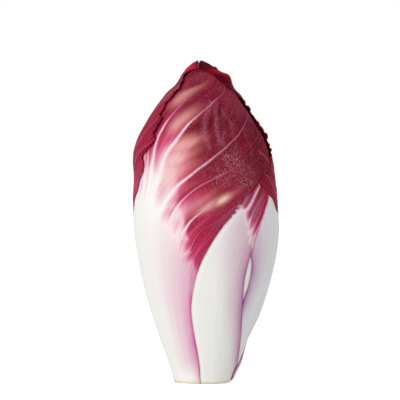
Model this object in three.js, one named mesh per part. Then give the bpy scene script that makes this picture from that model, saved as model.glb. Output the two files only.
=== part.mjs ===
// A head of red Belgian endive (witloof chicory), standing on its flat cut base.
//
// The head is a bud: leaves wrapped round a short stem core, each one lying on the leaves inside it.
// Units are millimetres, +Z is up, and the origin is at the centre of the cut base.
// Azimuth is measured in degrees from the front of the head (-Y) towards the right (+X).
//
// The head is laid out from the outside in. Its smooth outer form is the envelope, and every leaf lies
// at some depth under that form. A depth field keeps how deep the leaves placed so far reach at each
// azimuth and height, and the next leaf is pressed up against them from inside, as a growing bud
// presses it. The core comes last and fills what room the leaf bases leave at the cut.

import * as THREE from 'three';
import { mergeVertices } from 'three/addons/utils/BufferGeometryUtils.js';

// ---------- driving dimensions ----------

const HEAD_HEIGHT = 135;
const WIDEST_RADIUS = 30.8;
const WIDEST_HEIGHT = 72;
const CUT_RADIUS = 12.8;

const CORE_RADIUS = 7.6;
const CORE_HEIGHT = 44;

const GOLDEN_ANGLE = 137.5; // between one leaf and the next one in, in degrees
const INNER_LEAF_COUNT = 14;

const BLADE_THICKNESS = 0.9;
const RIB_THICKNESS = 3.7; // of the midrib, on top of the blade
const RIB_HALF_WIDTH = 10;

const LEAF_GAP = 0.42; // between a leaf and the next one in
const LEAST_BASE_THICKNESS = 1.1; // of a leaf where it joins the core
const FIRST_INNER_START = 9; // the lowest that an inner leaf springs from the core
const AXIS_CLEARANCE = 0.7; // from the innermost leaf to the axis of the head
const TIP_PRESS = 0.8; // near the axis, how far round a point a leaf feels the leaves outside it

const WHITE_LEAF = new THREE.MeshStandardMaterial({ color: 0xeceae0, roughness: 0.42, metalness: 0 });
const RED_LEAF = new THREE.MeshStandardMaterial({ color: 0x8e1f3c, roughness: 0.38, metalness: 0 });
const CUT_STEM = new THREE.MeshStandardMaterial({ color: 0xe6dcc4, roughness: 0.7, metalness: 0 });

const { degToRad, radToDeg, lerp, clamp, euclideanModulo } = THREE.MathUtils;
const smoothstep = (low, high, x) => THREE.MathUtils.smoothstep(x, low, high);

// ---------- the envelope: the smooth outer form of the head ----------

// Its radius: a quarter sine from the cut up to the widest part, then a blunt cone up to the apex.
const LOWER_FULLNESS = 1.1;
const UPPER_FULLNESS = 2.3;
const APEX_BLUNTNESS = 0.75;

function envelopeRadius(z) {
  if (z < WIDEST_HEIGHT) {
    const rise = Math.sin((Math.PI / 2) * (z / WIDEST_HEIGHT));
    return CUT_RADIUS + (WIDEST_RADIUS - CUT_RADIUS) * rise ** LOWER_FULLNESS;
  }
  const share = (z - WIDEST_HEIGHT) / (HEAD_HEIGHT - WIDEST_HEIGHT);
  return WIDEST_RADIUS * Math.max(0, 1 - share ** UPPER_FULLNESS) ** APEX_BLUNTNESS;
}

// Reach runs from 0 at the cut to 1 at the apex. Its even steps are long in height at the base and short
// at the apex, where the envelope curves most.
const APEX_CROWDING = 1.8;
const heightAtReach = (reach) => HEAD_HEIGHT * (1 - (1 - reach) ** APEX_CROWDING);
const reachAtHeight = (z) => 1 - (1 - z / HEAD_HEIGHT) ** (1 / APEX_CROWDING);

// Depth is measured inwards, along a ray from the envelope to the axis. The rays are level in the lower
// half and slope down towards the apex, where leaves lie on top of each other.
const APEX_RAY_DROP = 18;
const RAYS_DROP_FROM = 66;

function rayAt(z) {
  const radius = envelopeRadius(z);
  const drop = APEX_RAY_DROP * smoothstep(RAYS_DROP_FROM, HEAD_HEIGHT, z);
  return { radius, drop, length: Math.hypot(radius, drop) };
}

function placeAt(azimuth, z, depth) {
  const ray = rayAt(z);
  const share = depth / ray.length;
  const radius = ray.radius * (1 - share);
  const turn = degToRad(azimuth);
  return new THREE.Vector3(radius * Math.sin(turn), -radius * Math.cos(turn), z - ray.drop * share);
}

function coreRadius(z) {
  return CORE_RADIUS * (1 - Math.min(1, z / CORE_HEIGHT) ** 1.6) ** 0.8;
}

// The deepest that a leaf may reach before it touches the core or comes too near the axis.
function depthLimit(z) {
  const ray = rayAt(z);
  const kept = Math.max(coreRadius(z) + LEAF_GAP, AXIS_CLEARANCE);
  return ray.length * (1 - kept / Math.max(ray.radius, kept));
}

// ---------- the depth field ----------

const FIELD_COLUMNS = 180; // round the head
const FIELD_ROWS = 90; // from the cut to the apex

class DepthField {
  constructor() {
    this.depths = new Float64Array(FIELD_COLUMNS * FIELD_ROWS);
  }

  // The deepest value in a window round a point.
  deepestNear(azimuth, reach, azimuthSpan, reachSpan) {
    const columnAt = (angle) => (angle / 360) * FIELD_COLUMNS;
    const rowAt = (at) => clamp(at * (FIELD_ROWS - 1), 0, FIELD_ROWS - 1);
    const lastColumn = Math.ceil(columnAt(azimuth + azimuthSpan));
    const lastRow = Math.ceil(rowAt(reach + reachSpan));
    let deepest = 0;
    for (let row = Math.floor(rowAt(reach - reachSpan)); row <= lastRow; row++) {
      for (let column = Math.floor(columnAt(azimuth - azimuthSpan)); column <= lastColumn; column++) {
        const cell = row * FIELD_COLUMNS + euclideanModulo(column, FIELD_COLUMNS);
        deepest = Math.max(deepest, this.depths[cell]);
      }
    }
    return deepest;
  }

  // Presses the field inwards to depthAt(azimuth, reach), wherever that is deeper than it is already.
  press(depthAt) {
    this.depths = this.depths.map((depth, cell) => {
      const row = Math.floor(cell / FIELD_COLUMNS);
      const azimuth = ((cell % FIELD_COLUMNS) * 360) / FIELD_COLUMNS;
      return Math.max(depth, depthAt(azimuth, row / (FIELD_ROWS - 1)));
    });
  }
}

// ---------- the leaves ----------

// Each side of a leaf has three half-widths in degrees: where it clasps the stem, at the waist of its
// rib, and at the blade. The rib leans round the head by its twist on the way up. Heights are taken on
// the envelope.
const OUTER_LEAVES = [
  {
    name: 'outer_leaf_back_left',
    azimuth: -140,
    twist: 34,
    left: { clasp: 52, waist: 42, blade: 84 },
    right: { clasp: 52, waist: 46, blade: 71 },
    bladeFrom: 56,
    bladeTo: 97,
    shoulder: 110,
    tip: 134.4,
  },
  {
    name: 'outer_leaf_front_left',
    azimuth: -57,
    twist: 52,
    left: { clasp: 46, waist: 40, blade: 86 },
    right: { clasp: 43, waist: 36, blade: 100 },
    bladeFrom: 42,
    bladeTo: 89,
    shoulder: 84,
    tip: 131,
  },
  {
    name: 'outer_leaf_back_right',
    azimuth: 140,
    twist: 30,
    left: { clasp: 72, waist: 44, blade: 97 },
    right: { clasp: 52, waist: 44, blade: 74 },
    bladeFrom: 58,
    bladeTo: 91,
    shoulder: 96,
    tip: 133.8,
  },
  {
    name: 'outer_leaf_front_right',
    azimuth: 12,
    twist: 46,
    left: { clasp: 44, waist: 40, blade: 66 },
    right: { clasp: 46, waist: 24, blade: 50 },
    bladeFrom: 50,
    bladeTo: 90,
    shoulder: 100,
    tip: 132,
  },
  {
    name: 'outer_leaf_right',
    azimuth: 72,
    twist: 24,
    left: { clasp: 62, waist: 31, blade: 72 },
    right: { clasp: 50, waist: 42, blade: 68 },
    bladeFrom: 58,
    bladeTo: 100,
    shoulder: 104,
    tip: 133.4,
  },
].map((leaf) => ({ ...leaf, cutAtBase: true, vigour: 1, across: 16, along: 18, material: RED_LEAF }));

// The inner leaves follow on at the golden angle. Each is shorter, narrower and thinner than the one
// outside it.
function innerLeaf(order) {
  const age = order / (INNER_LEAF_COUNT - 1);
  const side = { clasp: 58, waist: 46 - 4 * age, blade: 76 - 10 * age };
  return {
    name: `inner_leaf_${String(order + 1).padStart(2, '0')}`,
    azimuth: OUTER_LEAVES.at(-1).azimuth + GOLDEN_ANGLE * (order + 1),
    twist: 20,
    left: side,
    right: side,
    bladeFrom: 52 - 10 * age,
    bladeTo: 96 - 8 * age,
    shoulder: 106 - 14 * age,
    tip: 134.8 - 22 * age ** 1.7,
    cutAtBase: false,
    vigour: 0.8 - 0.45 * age,
    across: 8,
    along: 11,
    material: WHITE_LEAF,
  };
}

const CLASP_HEIGHT = 13; // over which the clasping base narrows to the waist
const TWIST_FROM = 55;
const TIP_SHARPNESS = 0.97; // 1 would bring the outline to a point

function leafAxis(leaf, z) {
  return leaf.azimuth + leaf.twist * smoothstep(TWIST_FROM, HEAD_HEIGHT, z);
}

function halfWidth(leaf, side, z) {
  const clasp = (side.clasp - side.waist) * Math.exp(-z / CLASP_HEIGHT);
  const blade = (side.blade - side.waist) * smoothstep(leaf.bladeFrom, leaf.bladeTo, z);
  const past = clamp((z - leaf.shoulder) / (leaf.tip - leaf.shoulder), 0, 1);
  return (side.waist + clasp + blade) * Math.sqrt(1 - (TIP_SHARPNESS * past) ** 2);
}

// The rib is broad and flat at the base. It swells a little above the cut, then thins and narrows up to
// the tip.
function leafThickness(leaf, offset, z) {
  const share = z / HEAD_HEIGHT;
  const swell = lerp(0.55, 1, smoothstep(0, 0.2, share)) * (1 - smoothstep(0.25, 1, share));
  const fromRib = degToRad(offset) * envelopeRadius(z);
  const ribShare = Math.exp(-((fromRib / (RIB_HALF_WIDTH * (1 - 0.6 * share))) ** 2));
  return BLADE_THICKNESS + RIB_THICKNESS * leaf.vigour * swell * ribShare;
}

// Outer leaves are cut off with the stem. An inner leaf springs from the core at the lowest height where
// there is room for its base between the core and the leaves outside it.
function leafStart(leaf, field) {
  if (leaf.cutAtBase) return 0;
  let z = FIRST_INNER_START;
  while (z < CORE_HEIGHT) {
    const deepest = field.deepestNear(leaf.azimuth, reachAtHeight(z), leaf.left.clasp, 0.02);
    if (depthLimit(z) - deepest > LEAST_BASE_THICKNESS) break;
    z += 0.5;
  }
  return z;
}

// The depth of a leaf's outer face: as deep as any leaf outside it reaches within one facet.
function outerDepth(leaf, field, azimuth, z, width) {
  const facet = (2 * width) / leaf.across;
  const press = Math.min(60, radToDeg(TIP_PRESS / Math.max(envelopeRadius(z), TIP_PRESS)));
  const rowReach = reachAtHeight(leaf.tip) / leaf.along;
  return field.deepestNear(azimuth, reachAtHeight(z), Math.max(facet, press), 1.05 * rowReach);
}

// A leaf is a thin box bent onto the head: x runs across it, y along it, and z through it.
function buildLeaf(leaf, field) {
  const sheet = new THREE.BoxGeometry(2, 1, 1, leaf.across, leaf.along, 1);
  sheet.deleteAttribute('normal');
  sheet.deleteAttribute('uv');
  const start = reachAtHeight(leafStart(leaf, field));
  const vertices = sheet.getAttribute('position');
  for (let i = 0; i < vertices.count; i++) {
    const across = vertices.getX(i);
    const along = vertices.getY(i) + 0.5;
    const z = heightAtReach(lerp(start, reachAtHeight(leaf.tip), along));
    const width = halfWidth(leaf, across < 0 ? leaf.left : leaf.right, z);
    const azimuth = leafAxis(leaf, z) + across * width;
    const outer = outerDepth(leaf, field, azimuth, z, width);
    const thickness = Math.min(leafThickness(leaf, across * width, z), depthLimit(z) - outer);
    const depth = vertices.getZ(i) > 0 ? outer : outer + thickness;
    vertices.setXYZ(i, ...placeAt(azimuth, z, depth));
  }
  const mesh = new THREE.Mesh(mergeVertices(sheet, 1e-4), leaf.material);
  mesh.name = leaf.name;
  return mesh;
}

// Presses the field in behind a leaf. A flat facet sags inside the round form, so that is added.
const MARGIN_ALLOWANCE = 2.5; // in degrees
const START_ALLOWANCE = 2;

function pressBehind(leaf, field) {
  const start = leafStart(leaf, field);
  field.press((azimuth, reach) => {
    const z = heightAtReach(reach);
    const offset = euclideanModulo(azimuth - leafAxis(leaf, z) + 180, 360) - 180;
    const width = halfWidth(leaf, offset < 0 ? leaf.left : leaf.right, Math.max(z, start));
    const margin = Math.max(MARGIN_ALLOWANCE, width / leaf.across / 2);
    if (z < start - START_ALLOWANCE || z > leaf.tip || Math.abs(offset) > width + margin) return 0;
    const facetSag = envelopeRadius(z) * (1 - Math.cos(degToRad(width / leaf.across)));
    const outer = outerDepth(leaf, field, azimuth, z, width);
    return outer + leafThickness(leaf, offset, z) + facetSag + LEAF_GAP;
  });
}

// ---------- the stem core ----------

// Low down the core swells out to fill the room that the leaf bases leave, and above that it is a cone.
const CORE_SIDES = 30;
const CORE_RINGS = [0, 2.5, 5, 8, 12, 17, 23, 30, 36, 41];
const CORE_RING_REACH = 0.012; // half the reach between two rings
const CORE_FILLS_UP_TO = 4;
const CORE_IS_PLAIN_FROM = 15;

function buildCore(field) {
  const profile = CORE_RINGS.map((z) => new THREE.Vector2(coreRadius(z), z));
  profile.unshift(new THREE.Vector2(0, 0));
  profile.push(new THREE.Vector2(0, CORE_HEIGHT));
  const lathe = new THREE.LatheGeometry(profile, CORE_SIDES);
  lathe.deleteAttribute('normal');
  lathe.deleteAttribute('uv');
  lathe.rotateX(Math.PI / 2);
  const core = mergeVertices(lathe, 1e-4);
  const vertices = core.getAttribute('position');
  for (let i = 0; i < vertices.count; i++) {
    const x = vertices.getX(i);
    const y = vertices.getY(i);
    const z = Math.max(0, vertices.getZ(i));
    const radius = Math.hypot(x, y);
    if (radius < 0.01) continue;
    const azimuth = radToDeg(Math.atan2(x, -y));
    const deepest = field.deepestNear(azimuth, reachAtHeight(z), 360 / CORE_SIDES, CORE_RING_REACH);
    const fill = 1 - smoothstep(CORE_FILLS_UP_TO, CORE_IS_PLAIN_FROM, z);
    const filled = lerp(radius, Math.max(radius, envelopeRadius(z) - deepest), fill);
    vertices.setXY(i, (x * filled) / radius, (y * filled) / radius);
  }
  const mesh = new THREE.Mesh(core, CUT_STEM);
  mesh.name = 'stem_core';
  return mesh;
}

// ---------- assembly ----------

const head = new THREE.Group();
head.name = 'belgian_endive';

const field = new DepthField();
const innerLeaves = Array.from({ length: INNER_LEAF_COUNT }, (_, order) => innerLeaf(order));
for (const leaf of [...OUTER_LEAVES, ...innerLeaves]) {
  head.add(buildLeaf(leaf, field));
  pressBehind(leaf, field);
}
head.add(buildCore(field));

export default head;
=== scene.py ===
import bpy
import numpy as np
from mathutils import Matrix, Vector


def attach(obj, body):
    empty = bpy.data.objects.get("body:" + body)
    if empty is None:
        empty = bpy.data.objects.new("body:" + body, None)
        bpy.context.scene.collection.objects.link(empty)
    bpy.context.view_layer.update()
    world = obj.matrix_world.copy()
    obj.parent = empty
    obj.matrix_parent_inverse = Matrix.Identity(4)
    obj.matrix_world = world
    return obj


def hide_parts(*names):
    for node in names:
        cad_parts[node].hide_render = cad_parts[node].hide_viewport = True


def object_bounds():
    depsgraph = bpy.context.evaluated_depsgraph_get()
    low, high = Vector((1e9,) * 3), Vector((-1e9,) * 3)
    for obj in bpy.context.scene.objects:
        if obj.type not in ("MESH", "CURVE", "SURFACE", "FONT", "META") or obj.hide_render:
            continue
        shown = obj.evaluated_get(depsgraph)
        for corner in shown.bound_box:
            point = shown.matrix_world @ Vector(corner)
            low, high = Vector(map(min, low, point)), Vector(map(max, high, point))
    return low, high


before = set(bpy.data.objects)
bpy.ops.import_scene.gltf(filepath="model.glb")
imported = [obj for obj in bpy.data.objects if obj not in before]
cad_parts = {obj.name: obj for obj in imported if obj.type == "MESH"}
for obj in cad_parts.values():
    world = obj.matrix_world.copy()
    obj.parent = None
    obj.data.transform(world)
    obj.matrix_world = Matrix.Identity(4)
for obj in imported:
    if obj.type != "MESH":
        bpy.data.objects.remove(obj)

cad_low, cad_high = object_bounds()


# ==================== the bud as a whole ====================
# A head of red Belgian endive is one tight bud, grown in the dark and cut off flat under its leaves.
# Every leaf lies on the leaves inside it, so the head is laid out from its smooth outer form inwards.
# Turns are degrees from the front (-Y) towards the right (+X); lengths here are millimetres.

MM = 0.001
TIPS_PROUD = 1.0045  # the leaf tips stand a hair above the solid head
HEAD_HEIGHT = TIPS_PROUD * (cad_high.z - cad_low.z) / MM
WIDEST_RADIUS = (cad_high.x - cad_low.x) / 2 / MM
WIDEST_HEIGHT = 0.533 * HEAD_HEIGHT
CUT_RADIUS = 0.416 * WIDEST_RADIUS
LOWER_FULLNESS = 1.1
UPPER_FULLNESS = 2.3
APEX_BLUNTNESS = 0.75


def ease(low, high, x):
    share = np.clip((x - low) / (high - low), 0, 1)
    return share * share * (3 - 2 * share)


def curve_through(points):
    """A smooth curve through a few (height, value) points."""
    at, values = np.array(points, float).T
    slopes = np.gradient(values, at)

    def read(height):
        x = np.clip(height, at[0], at[-1])
        i = np.clip(np.searchsorted(at, x, side="right") - 1, 0, len(at) - 2)
        step = at[i + 1] - at[i]
        t = (x - at[i]) / step
        rise = (3 - 2 * t) * t * t
        lean_in = slopes[i] * step * t * (1 - t) ** 2
        lean_out = slopes[i + 1] * step * t * t * (t - 1)
        return values[i] * (1 - rise) + values[i + 1] * rise + lean_in + lean_out

    return read


# The shoulder is a little slimmer than the even form, and the leaf edges stand off round it.
shoulder_trim = curve_through([
    (0, 0), (66, 0), (76, -0.4), (85, -0.6), (93, 0.1), (101, 0), (110, -1.1), (116, -1.6), (121, -1.6),
    (125, -2.1), (129, -1), (132, -0.3), (135, 0),
])


def head_radius(height):
    below = np.sin(np.pi / 2 * np.clip(height / WIDEST_HEIGHT, 0, 1)) ** LOWER_FULLNESS
    past = np.clip((height - WIDEST_HEIGHT) / (HEAD_HEIGHT - WIDEST_HEIGHT), 0, 1)
    above = (1 - past**UPPER_FULLNESS) ** APEX_BLUNTNESS
    lower = CUT_RADIUS + (WIDEST_RADIUS - CUT_RADIUS) * below
    return np.where(height < WIDEST_HEIGHT, lower, WIDEST_RADIUS * above + shoulder_trim(height))


# The head's profile measured along its curve, so that steps on it are even from the cut to the apex.
PROFILE_SAMPLES = 3000
PROFILE_CROWDING = 1.8  # crowds the samples towards the apex, where the profile turns fast
profile_heights = HEAD_HEIGHT * (1 - (1 - np.linspace(0, 1, PROFILE_SAMPLES)) ** PROFILE_CROWDING)
profile_steps = np.hypot(np.diff(profile_heights), np.diff(head_radius(profile_heights)))
profile_lengths = np.concatenate([[0], np.cumsum(profile_steps)])


def length_at(height):
    return np.interp(height, profile_heights, profile_lengths)


def height_at(length):
    return np.interp(length, profile_lengths, profile_heights)


# A leaf's depth under the outer form is measured along rays: level low down, and sloping down towards
# the apex, where the leaves lie on top of each other.
APEX_RAY_DROP = 18
RAYS_DROP_FROM = 66


def ray_at(height):
    radius = head_radius(height)
    drop = APEX_RAY_DROP * ease(RAYS_DROP_FROM, HEAD_HEIGHT, height)
    return radius, drop, np.hypot(radius, drop)


# A real head is never quite straight: this one bellies to the right and nods to the left, and a dent
# runs in low down at its right. The knife ran out upwards at the right of the cut.
lean = curve_through([
    (0, 0), (30, 0.3), (60, 0.7), (76, 0.2), (85, 0), (95, -0.9), (105, -1.5), (115, -1.8), (121, -1.2),
    (126, -0.7), (130, -1.3), (135, -2.3),
])
CUT_SLANT = 2.5
CUT_SLANT_TURN = 88
CUT_SLANT_SPREAD = 30
CUT_SLANT_DEPTH = 3
CUT_SLANT_REACH = 8  # how high up the leaves still feel it
DENT = 1.1
DENT_TURN = 92
DENT_SPREAD = 30
DENT_HEIGHT = 17.5
DENT_HALF_HEIGHT = 7


def place(turn, height, depth):
    """Where a point of the head is, from its turn, its height and its depth under the outer form."""
    radius, drop, length = ray_at(height)
    share = depth / length
    aside = (turn - DENT_TURN + 180) % 360 - 180
    dent = DENT * np.exp(-((aside / DENT_SPREAD) ** 2) - ((height - DENT_HEIGHT) / DENT_HALF_HEIGHT) ** 2)
    reach = (radius - dent) * (1 - share)
    off_slant = ((turn - CUT_SLANT_TURN) / CUT_SLANT_SPREAD) ** 2 + np.maximum(depth, 0) / CUT_SLANT_DEPTH
    slant = CUT_SLANT * np.exp(-off_slant)
    level = height - drop * share + slant * np.maximum(0, 1 - height / CUT_SLANT_REACH)
    angle = np.radians(turn)
    return np.stack([reach * np.sin(angle) + lean(height), -reach * np.cos(angle), level], -1)


# How deep the leaves laid so far reach, at every turn and height.
COLUMNS = 720
ROWS = 300
FIELD_LENGTH = profile_lengths[-1] * 0.9995  # it stops just short of the apex, where turns meet
FIELD_STEP = FIELD_LENGTH / (ROWS - 1)
field_heights = height_at(np.linspace(0, FIELD_LENGTH, ROWS))
field_turns = np.arange(COLUMNS) * 360 / COLUMNS
taken = np.zeros((ROWS, COLUMNS))

DRAPE_REACH = 0.6  # how far round a leaf's edge the next leaf in feels it
WIDEST_DRAPE = 60  # the same near the apex, at most, in degrees
NARROWEST = 0.8


def draped(field):
    """The field as the next leaf lies on it: never shallower, with every step eased out."""
    rows = round(DRAPE_REACH / FIELD_STEP)
    tall = np.pad(field, ((rows, rows), (0, 0)), mode="edge")
    tall = np.max([tall[i : i + ROWS] for i in range(2 * rows + 1)], axis=0)
    wide = np.empty_like(field)
    for row, height in enumerate(field_heights):
        reach = min(WIDEST_DRAPE, np.degrees(DRAPE_REACH / max(head_radius(height), NARROWEST)))
        columns = int(np.ceil(reach * COLUMNS / 360))
        line = np.pad(tall[row], columns, mode="wrap")
        line = np.lib.stride_tricks.sliding_window_view(line, 2 * columns + 1).max(axis=1)
        line = np.pad(line, columns, mode="wrap")
        wide[row] = np.lib.stride_tricks.sliding_window_view(line, 2 * columns + 1).mean(axis=1)
    soft = np.pad(wide, ((rows, rows), (0, 0)), mode="edge")
    return np.mean([soft[i : i + ROWS] for i in range(2 * rows + 1)], axis=0)


def read_field(field, turn, height):
    row = np.clip(length_at(height) / FIELD_STEP, 0, ROWS - 1.001)
    column = (turn / 360 * COLUMNS) % COLUMNS
    row_low = row.astype(int)
    column_low = column.astype(int) % COLUMNS
    column_high = (column_low + 1) % COLUMNS
    up = row - row_low
    over_by = column - np.floor(column)
    lower = field[row_low, column_low] * (1 - over_by) + field[row_low, column_high] * over_by
    upper = field[row_low + 1, column_low] * (1 - over_by) + field[row_low + 1, column_high] * over_by
    return lower * (1 - up) + upper * up


# The stem core is a short cone inside the base, and it ends the room there is for leaves.
CORE_RADIUS = 7.6
CORE_HEIGHT = 44
AXIS_CLEARANCE = 0.25
LEAF_GAP = 0.14


def core_radius(height):
    return CORE_RADIUS * (1 - np.clip(height / CORE_HEIGHT, 0, 1) ** 1.6) ** 0.8


def depth_limit(height):
    radius, _, length = ray_at(height)
    kept = np.maximum(core_radius(height) + LEAF_GAP, AXIS_CLEARANCE)
    return length * (1 - kept / np.maximum(radius, kept))


# ==================== the leaf as a sheet ====================
# A leaf is a broad fleshy white rib that thins out to a red blade about a millimetre thick, with a
# thin, slightly ragged edge. It is laid out flat on the head first and gets its thickness after that.

WANDER_VALUES = 512
BLADE_THICKNESS = 0.85
EDGE_THICKNESS = 0.16
RED_EDGE_THICKNESS = 0.3
LEAST_THICKNESS = 0.05
RIB_THICKNESS = 3.7
RIB_HALF_WIDTH = 10
RIB_TAPER = 7  # how far in from its edge a leaf takes to reach its full thickness, low down
BLADE_TAPER = 1.6  # and high up
TOOTH_PITCH = 1.1
WAVE_PITCH = 4.7
SMOOTHEST = 0.1  # how much of its raggedness a margin keeps along the white rib
TORN_FROM, TORN_FULLY_FROM = 58, 80
THIN_VEIN_HALF_WIDTH = 0.2
VEIN_SWELL = 2.2  # how much wider than that a side vein is low down, beside the rib
VEIN_CLIMB = 45  # how high a side vein climbs while it crosses to the margin
LEAST_FAN_STEP = 6  # degrees from strand to strand outside the outermost veins
SIDE_VEINS = ((0.64, 60), (0.46, 68), (0.3, 75), (0.14, 84), (0.05, 96))  # (share of the width, departs)
LIFT_REACH = 3.2  # how far in a margin that stands off pulls the leaf with it
LIFT_UNEVENNESS = 0.35
FIRST_RED = 0.66  # how red the blade is where its red is first full, 1 being the deepest
SOFT_BLUSH = 0.82
CRISP_BLUSH = 1 - SOFT_BLUSH
CRISP_BLUSH_REACH = 1.8
RED_AND_HIGHLIGHT_RIM_HALF_WIDTH = 0.55
RED_AND_HIGHLIGHT_RIM_FADE = 4
DARK_EDGE_AND_SHADED_FROM, DARK_EDGE_AND_SHADED_FULLY_FROM = 86, 98
PATCH_FULLNESS = 2.6
NARROWEST_RAISED_VEIN = 0.35
PATH_POINTS = 60
EVEN = [(0, 0), (HEAD_HEIGHT, 0)]


def wander(along, pitch, seed):
    """A smooth random wobble between -1 and 1, one value every pitch."""
    values = np.random.default_rng(seed).uniform(-1, 1, WANDER_VALUES)
    x = np.asarray(along, float) / pitch
    low = np.floor(x).astype(int)
    t = ease(0, 1, x - low)
    return values[low % WANDER_VALUES] * (1 - t) + values[(low + 1) % WANDER_VALUES] * t


def nearest(points, path):
    """The distance from each point to a path."""
    starts, ends = path[:-1], path[1:]
    along = ends - starts
    square = np.maximum((along**2).sum(1), 1e-9)
    best = np.full(len(points), 1e9)
    for i in range(len(starts)):
        t = np.clip(((points - starts[i]) @ along[i]) / square[i], 0, 1)
        best = np.minimum(best, ((points - starts[i] - t[:, None] * along[i]) ** 2).sum(1))
    return np.sqrt(best)


class Leaf:
    """The outline and the markings of one leaf, as it lies on the head."""

    def __init__(self, name, rib, left, right, tip, **ways):
        self.name = name
        self.rib = curve_through(rib)
        self.tip = tip
        self.start = 0
        self.vigour = 1
        self.seed = 1
        self.ragged = 0.25
        self.fineness = 0.56
        self.notches = ()  # (side, height, depth, half height)
        self.lift = EVEN  # how far the right edge stands off
        self.left_lift = EVEN
        self.left_lift_reach = LIFT_REACH
        self.left_lift_jag = 0
        self.bulges = ()  # (turn, height, half width, half height, how far out)
        self.fan_left = left  # where the side veins run out to at the left, if not to the margin
        self.veins = ()  # from left to right, each a list of (turn, height, half width)
        self.redness = ()  # (turn, begins, red from, deepest from)
        self.haze = (0.05, 8)  # how strong, and how far down, a pink haze runs ahead of the red
        self.patches = ()  # (turn, height, half length, half width, tilt, pale, cream)
        self.bays = ()  # patches between two veins: (strand, height, half strand, half height, pale, cream)
        self.lobes = ()  # red between two veins: (strand, height, half strand, half height, how red)
        self.red_and_highlight_spots = ()  # (turn, height, half length, half width, tilt, how bright a red), partly the leaf's own red and partly a painted highlight
        self.painted_blue_shades = ()  # (turn, height, half length, half width, tilt, how strong a painted grey-blue shade)
        self.dark_edge_and_shade = (0, 0)  # how dark the left and the right edge are, high up: partly their own dark red, partly painted shade
        self.dark_edge_and_shade_reach = [(0, 4), (HEAD_HEIGHT, 4)]
        self.red_and_highlight_rim = (0, 0)  # how bright a red the very edge is, left and right, high up: partly its own red, partly a painted highlight where it catches the light
        self.red_and_highlight_rim_reaches = (90, 140)
        self.blister_and_glint_spots = ()  # (turn, height, half size, how much): blisters, with painted glints on their tops and painted shade between them
        self.creases = ()  # (how strong a ridge, or a furrow below 0, half width, points); ridges also get a painted highlight and furrows a painted shade
        self.blush = (1, 1)
        self.blush_reach = [(0, 9), (HEAD_HEIGHT, 9)]
        self.__dict__.update(ways)
        self.margins = {-1: curve_through(left), 1: curve_through(right)}
        self.fan_edges = {-1: curve_through(self.fan_left), 1: curve_through(right)}

    def margin(self, side, height):
        turn = self.margins[side](height)
        along = length_at(height)
        jag = self.ragged * wander(along, TOOTH_PITCH, self.seed + side)
        jag += 2 * self.ragged * wander(along, WAVE_PITCH, self.seed + side + 40)
        jag *= SMOOTHEST + (1 - SMOOTHEST) * ease(TORN_FROM, TORN_FULLY_FROM, height)
        for notched, at, deep, half in self.notches:
            if notched == side:
                jag -= deep * np.exp(-(((height - at) / half) ** 2))
        return turn + side * np.degrees(jag / np.maximum(head_radius(height), 2))

    def fan(self, turn, height):
        """Which strand runs through a place, whole numbers being veins, and how wide the vein is there."""
        lines, widths = self.drawn_veins(height) if self.veins else self.ruled_veins(height)
        lines = np.maximum.accumulate(lines + 0.01 * np.arange(len(lines))[:, None], axis=0)
        last = len(lines) - 1
        first_step = np.maximum(lines[1] - lines[0], LEAST_FAN_STEP)
        last_step = np.maximum(lines[-1] - lines[-2], LEAST_FAN_STEP)
        before, beyond = (turn - lines[0]) / first_step, last + (turn - lines[-1]) / last_step
        strand = np.where(turn < lines[0], before, beyond)
        width = np.zeros(len(turn))
        for i in range(last):
            share = (turn - lines[i]) / (lines[i + 1] - lines[i])
            inside = (share >= 0) & (share < 1)
            strand = np.where(inside, i + share, strand)
            width = np.where(inside, widths[i] * (1 - share) + widths[i + 1] * share, width)
        outside = np.where(strand < 0, -strand, strand - last)
        edge_width = np.where(strand < 0, widths[0], widths[-1]) * (outside < 0.5)
        return strand, np.where(outside > 0, edge_width, width)

    def drawn_veins(self, height):
        lines, widths = [], []
        for vein in self.veins:
            turns, heights, half = np.array(vein, float).T
            lines.append(curve_through(np.stack([heights, turns], 1))(height))
            widths.append(np.interp(height, heights, half))
        return np.array(lines), np.array(widths)

    def ruled_veins(self, height):
        """Side veins leave the rib one above another and bend out to the margin."""
        lines, widths = [], []
        for side, veins in ((-1, SIDE_VEINS), (0, ((0, 100),)), (1, SIDE_VEINS[::-1])):
            for share, departs in veins:
                across = share + (np.maximum(height - departs, 0) / VEIN_CLIMB) ** 2
                width = abs(self.fan_edges[side](height) - self.rib(height)) if side else 0
                lines.append(self.rib(height) + side * across * width)
                stout = 1 - ease(departs - 30, departs + 22, height)
                widths.append(THIN_VEIN_HALF_WIDTH + VEIN_SWELL * stout)
        return np.array(lines), np.array(widths)

    def thickness(self, turn, height, edge):
        """Thick on the rib and low down, and thinning out over the last few millimetres to the edge."""
        share = height / HEAD_HEIGHT
        swell = (0.55 + 0.45 * ease(0, 0.2, share)) * (1 - ease(0.25, 1, share))
        off_rib = np.radians(turn - self.rib(height)) * head_radius(height)
        rib = np.exp(-((off_rib / (RIB_HALF_WIDTH * (1 - 0.6 * share))) ** 2))
        full = BLADE_THICKNESS + RIB_THICKNESS * self.vigour * swell * rib
        taper = RIB_TAPER + (BLADE_TAPER - RIB_TAPER) * ease(35, 75, height)
        thin = EDGE_THICKNESS + (RED_EDGE_THICKNESS - EDGE_THICKNESS) * ease(55, 85, height)
        return np.where(edge < 0, thin, thin + (full - thin) * (1 - np.exp(-edge / taper)))

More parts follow.
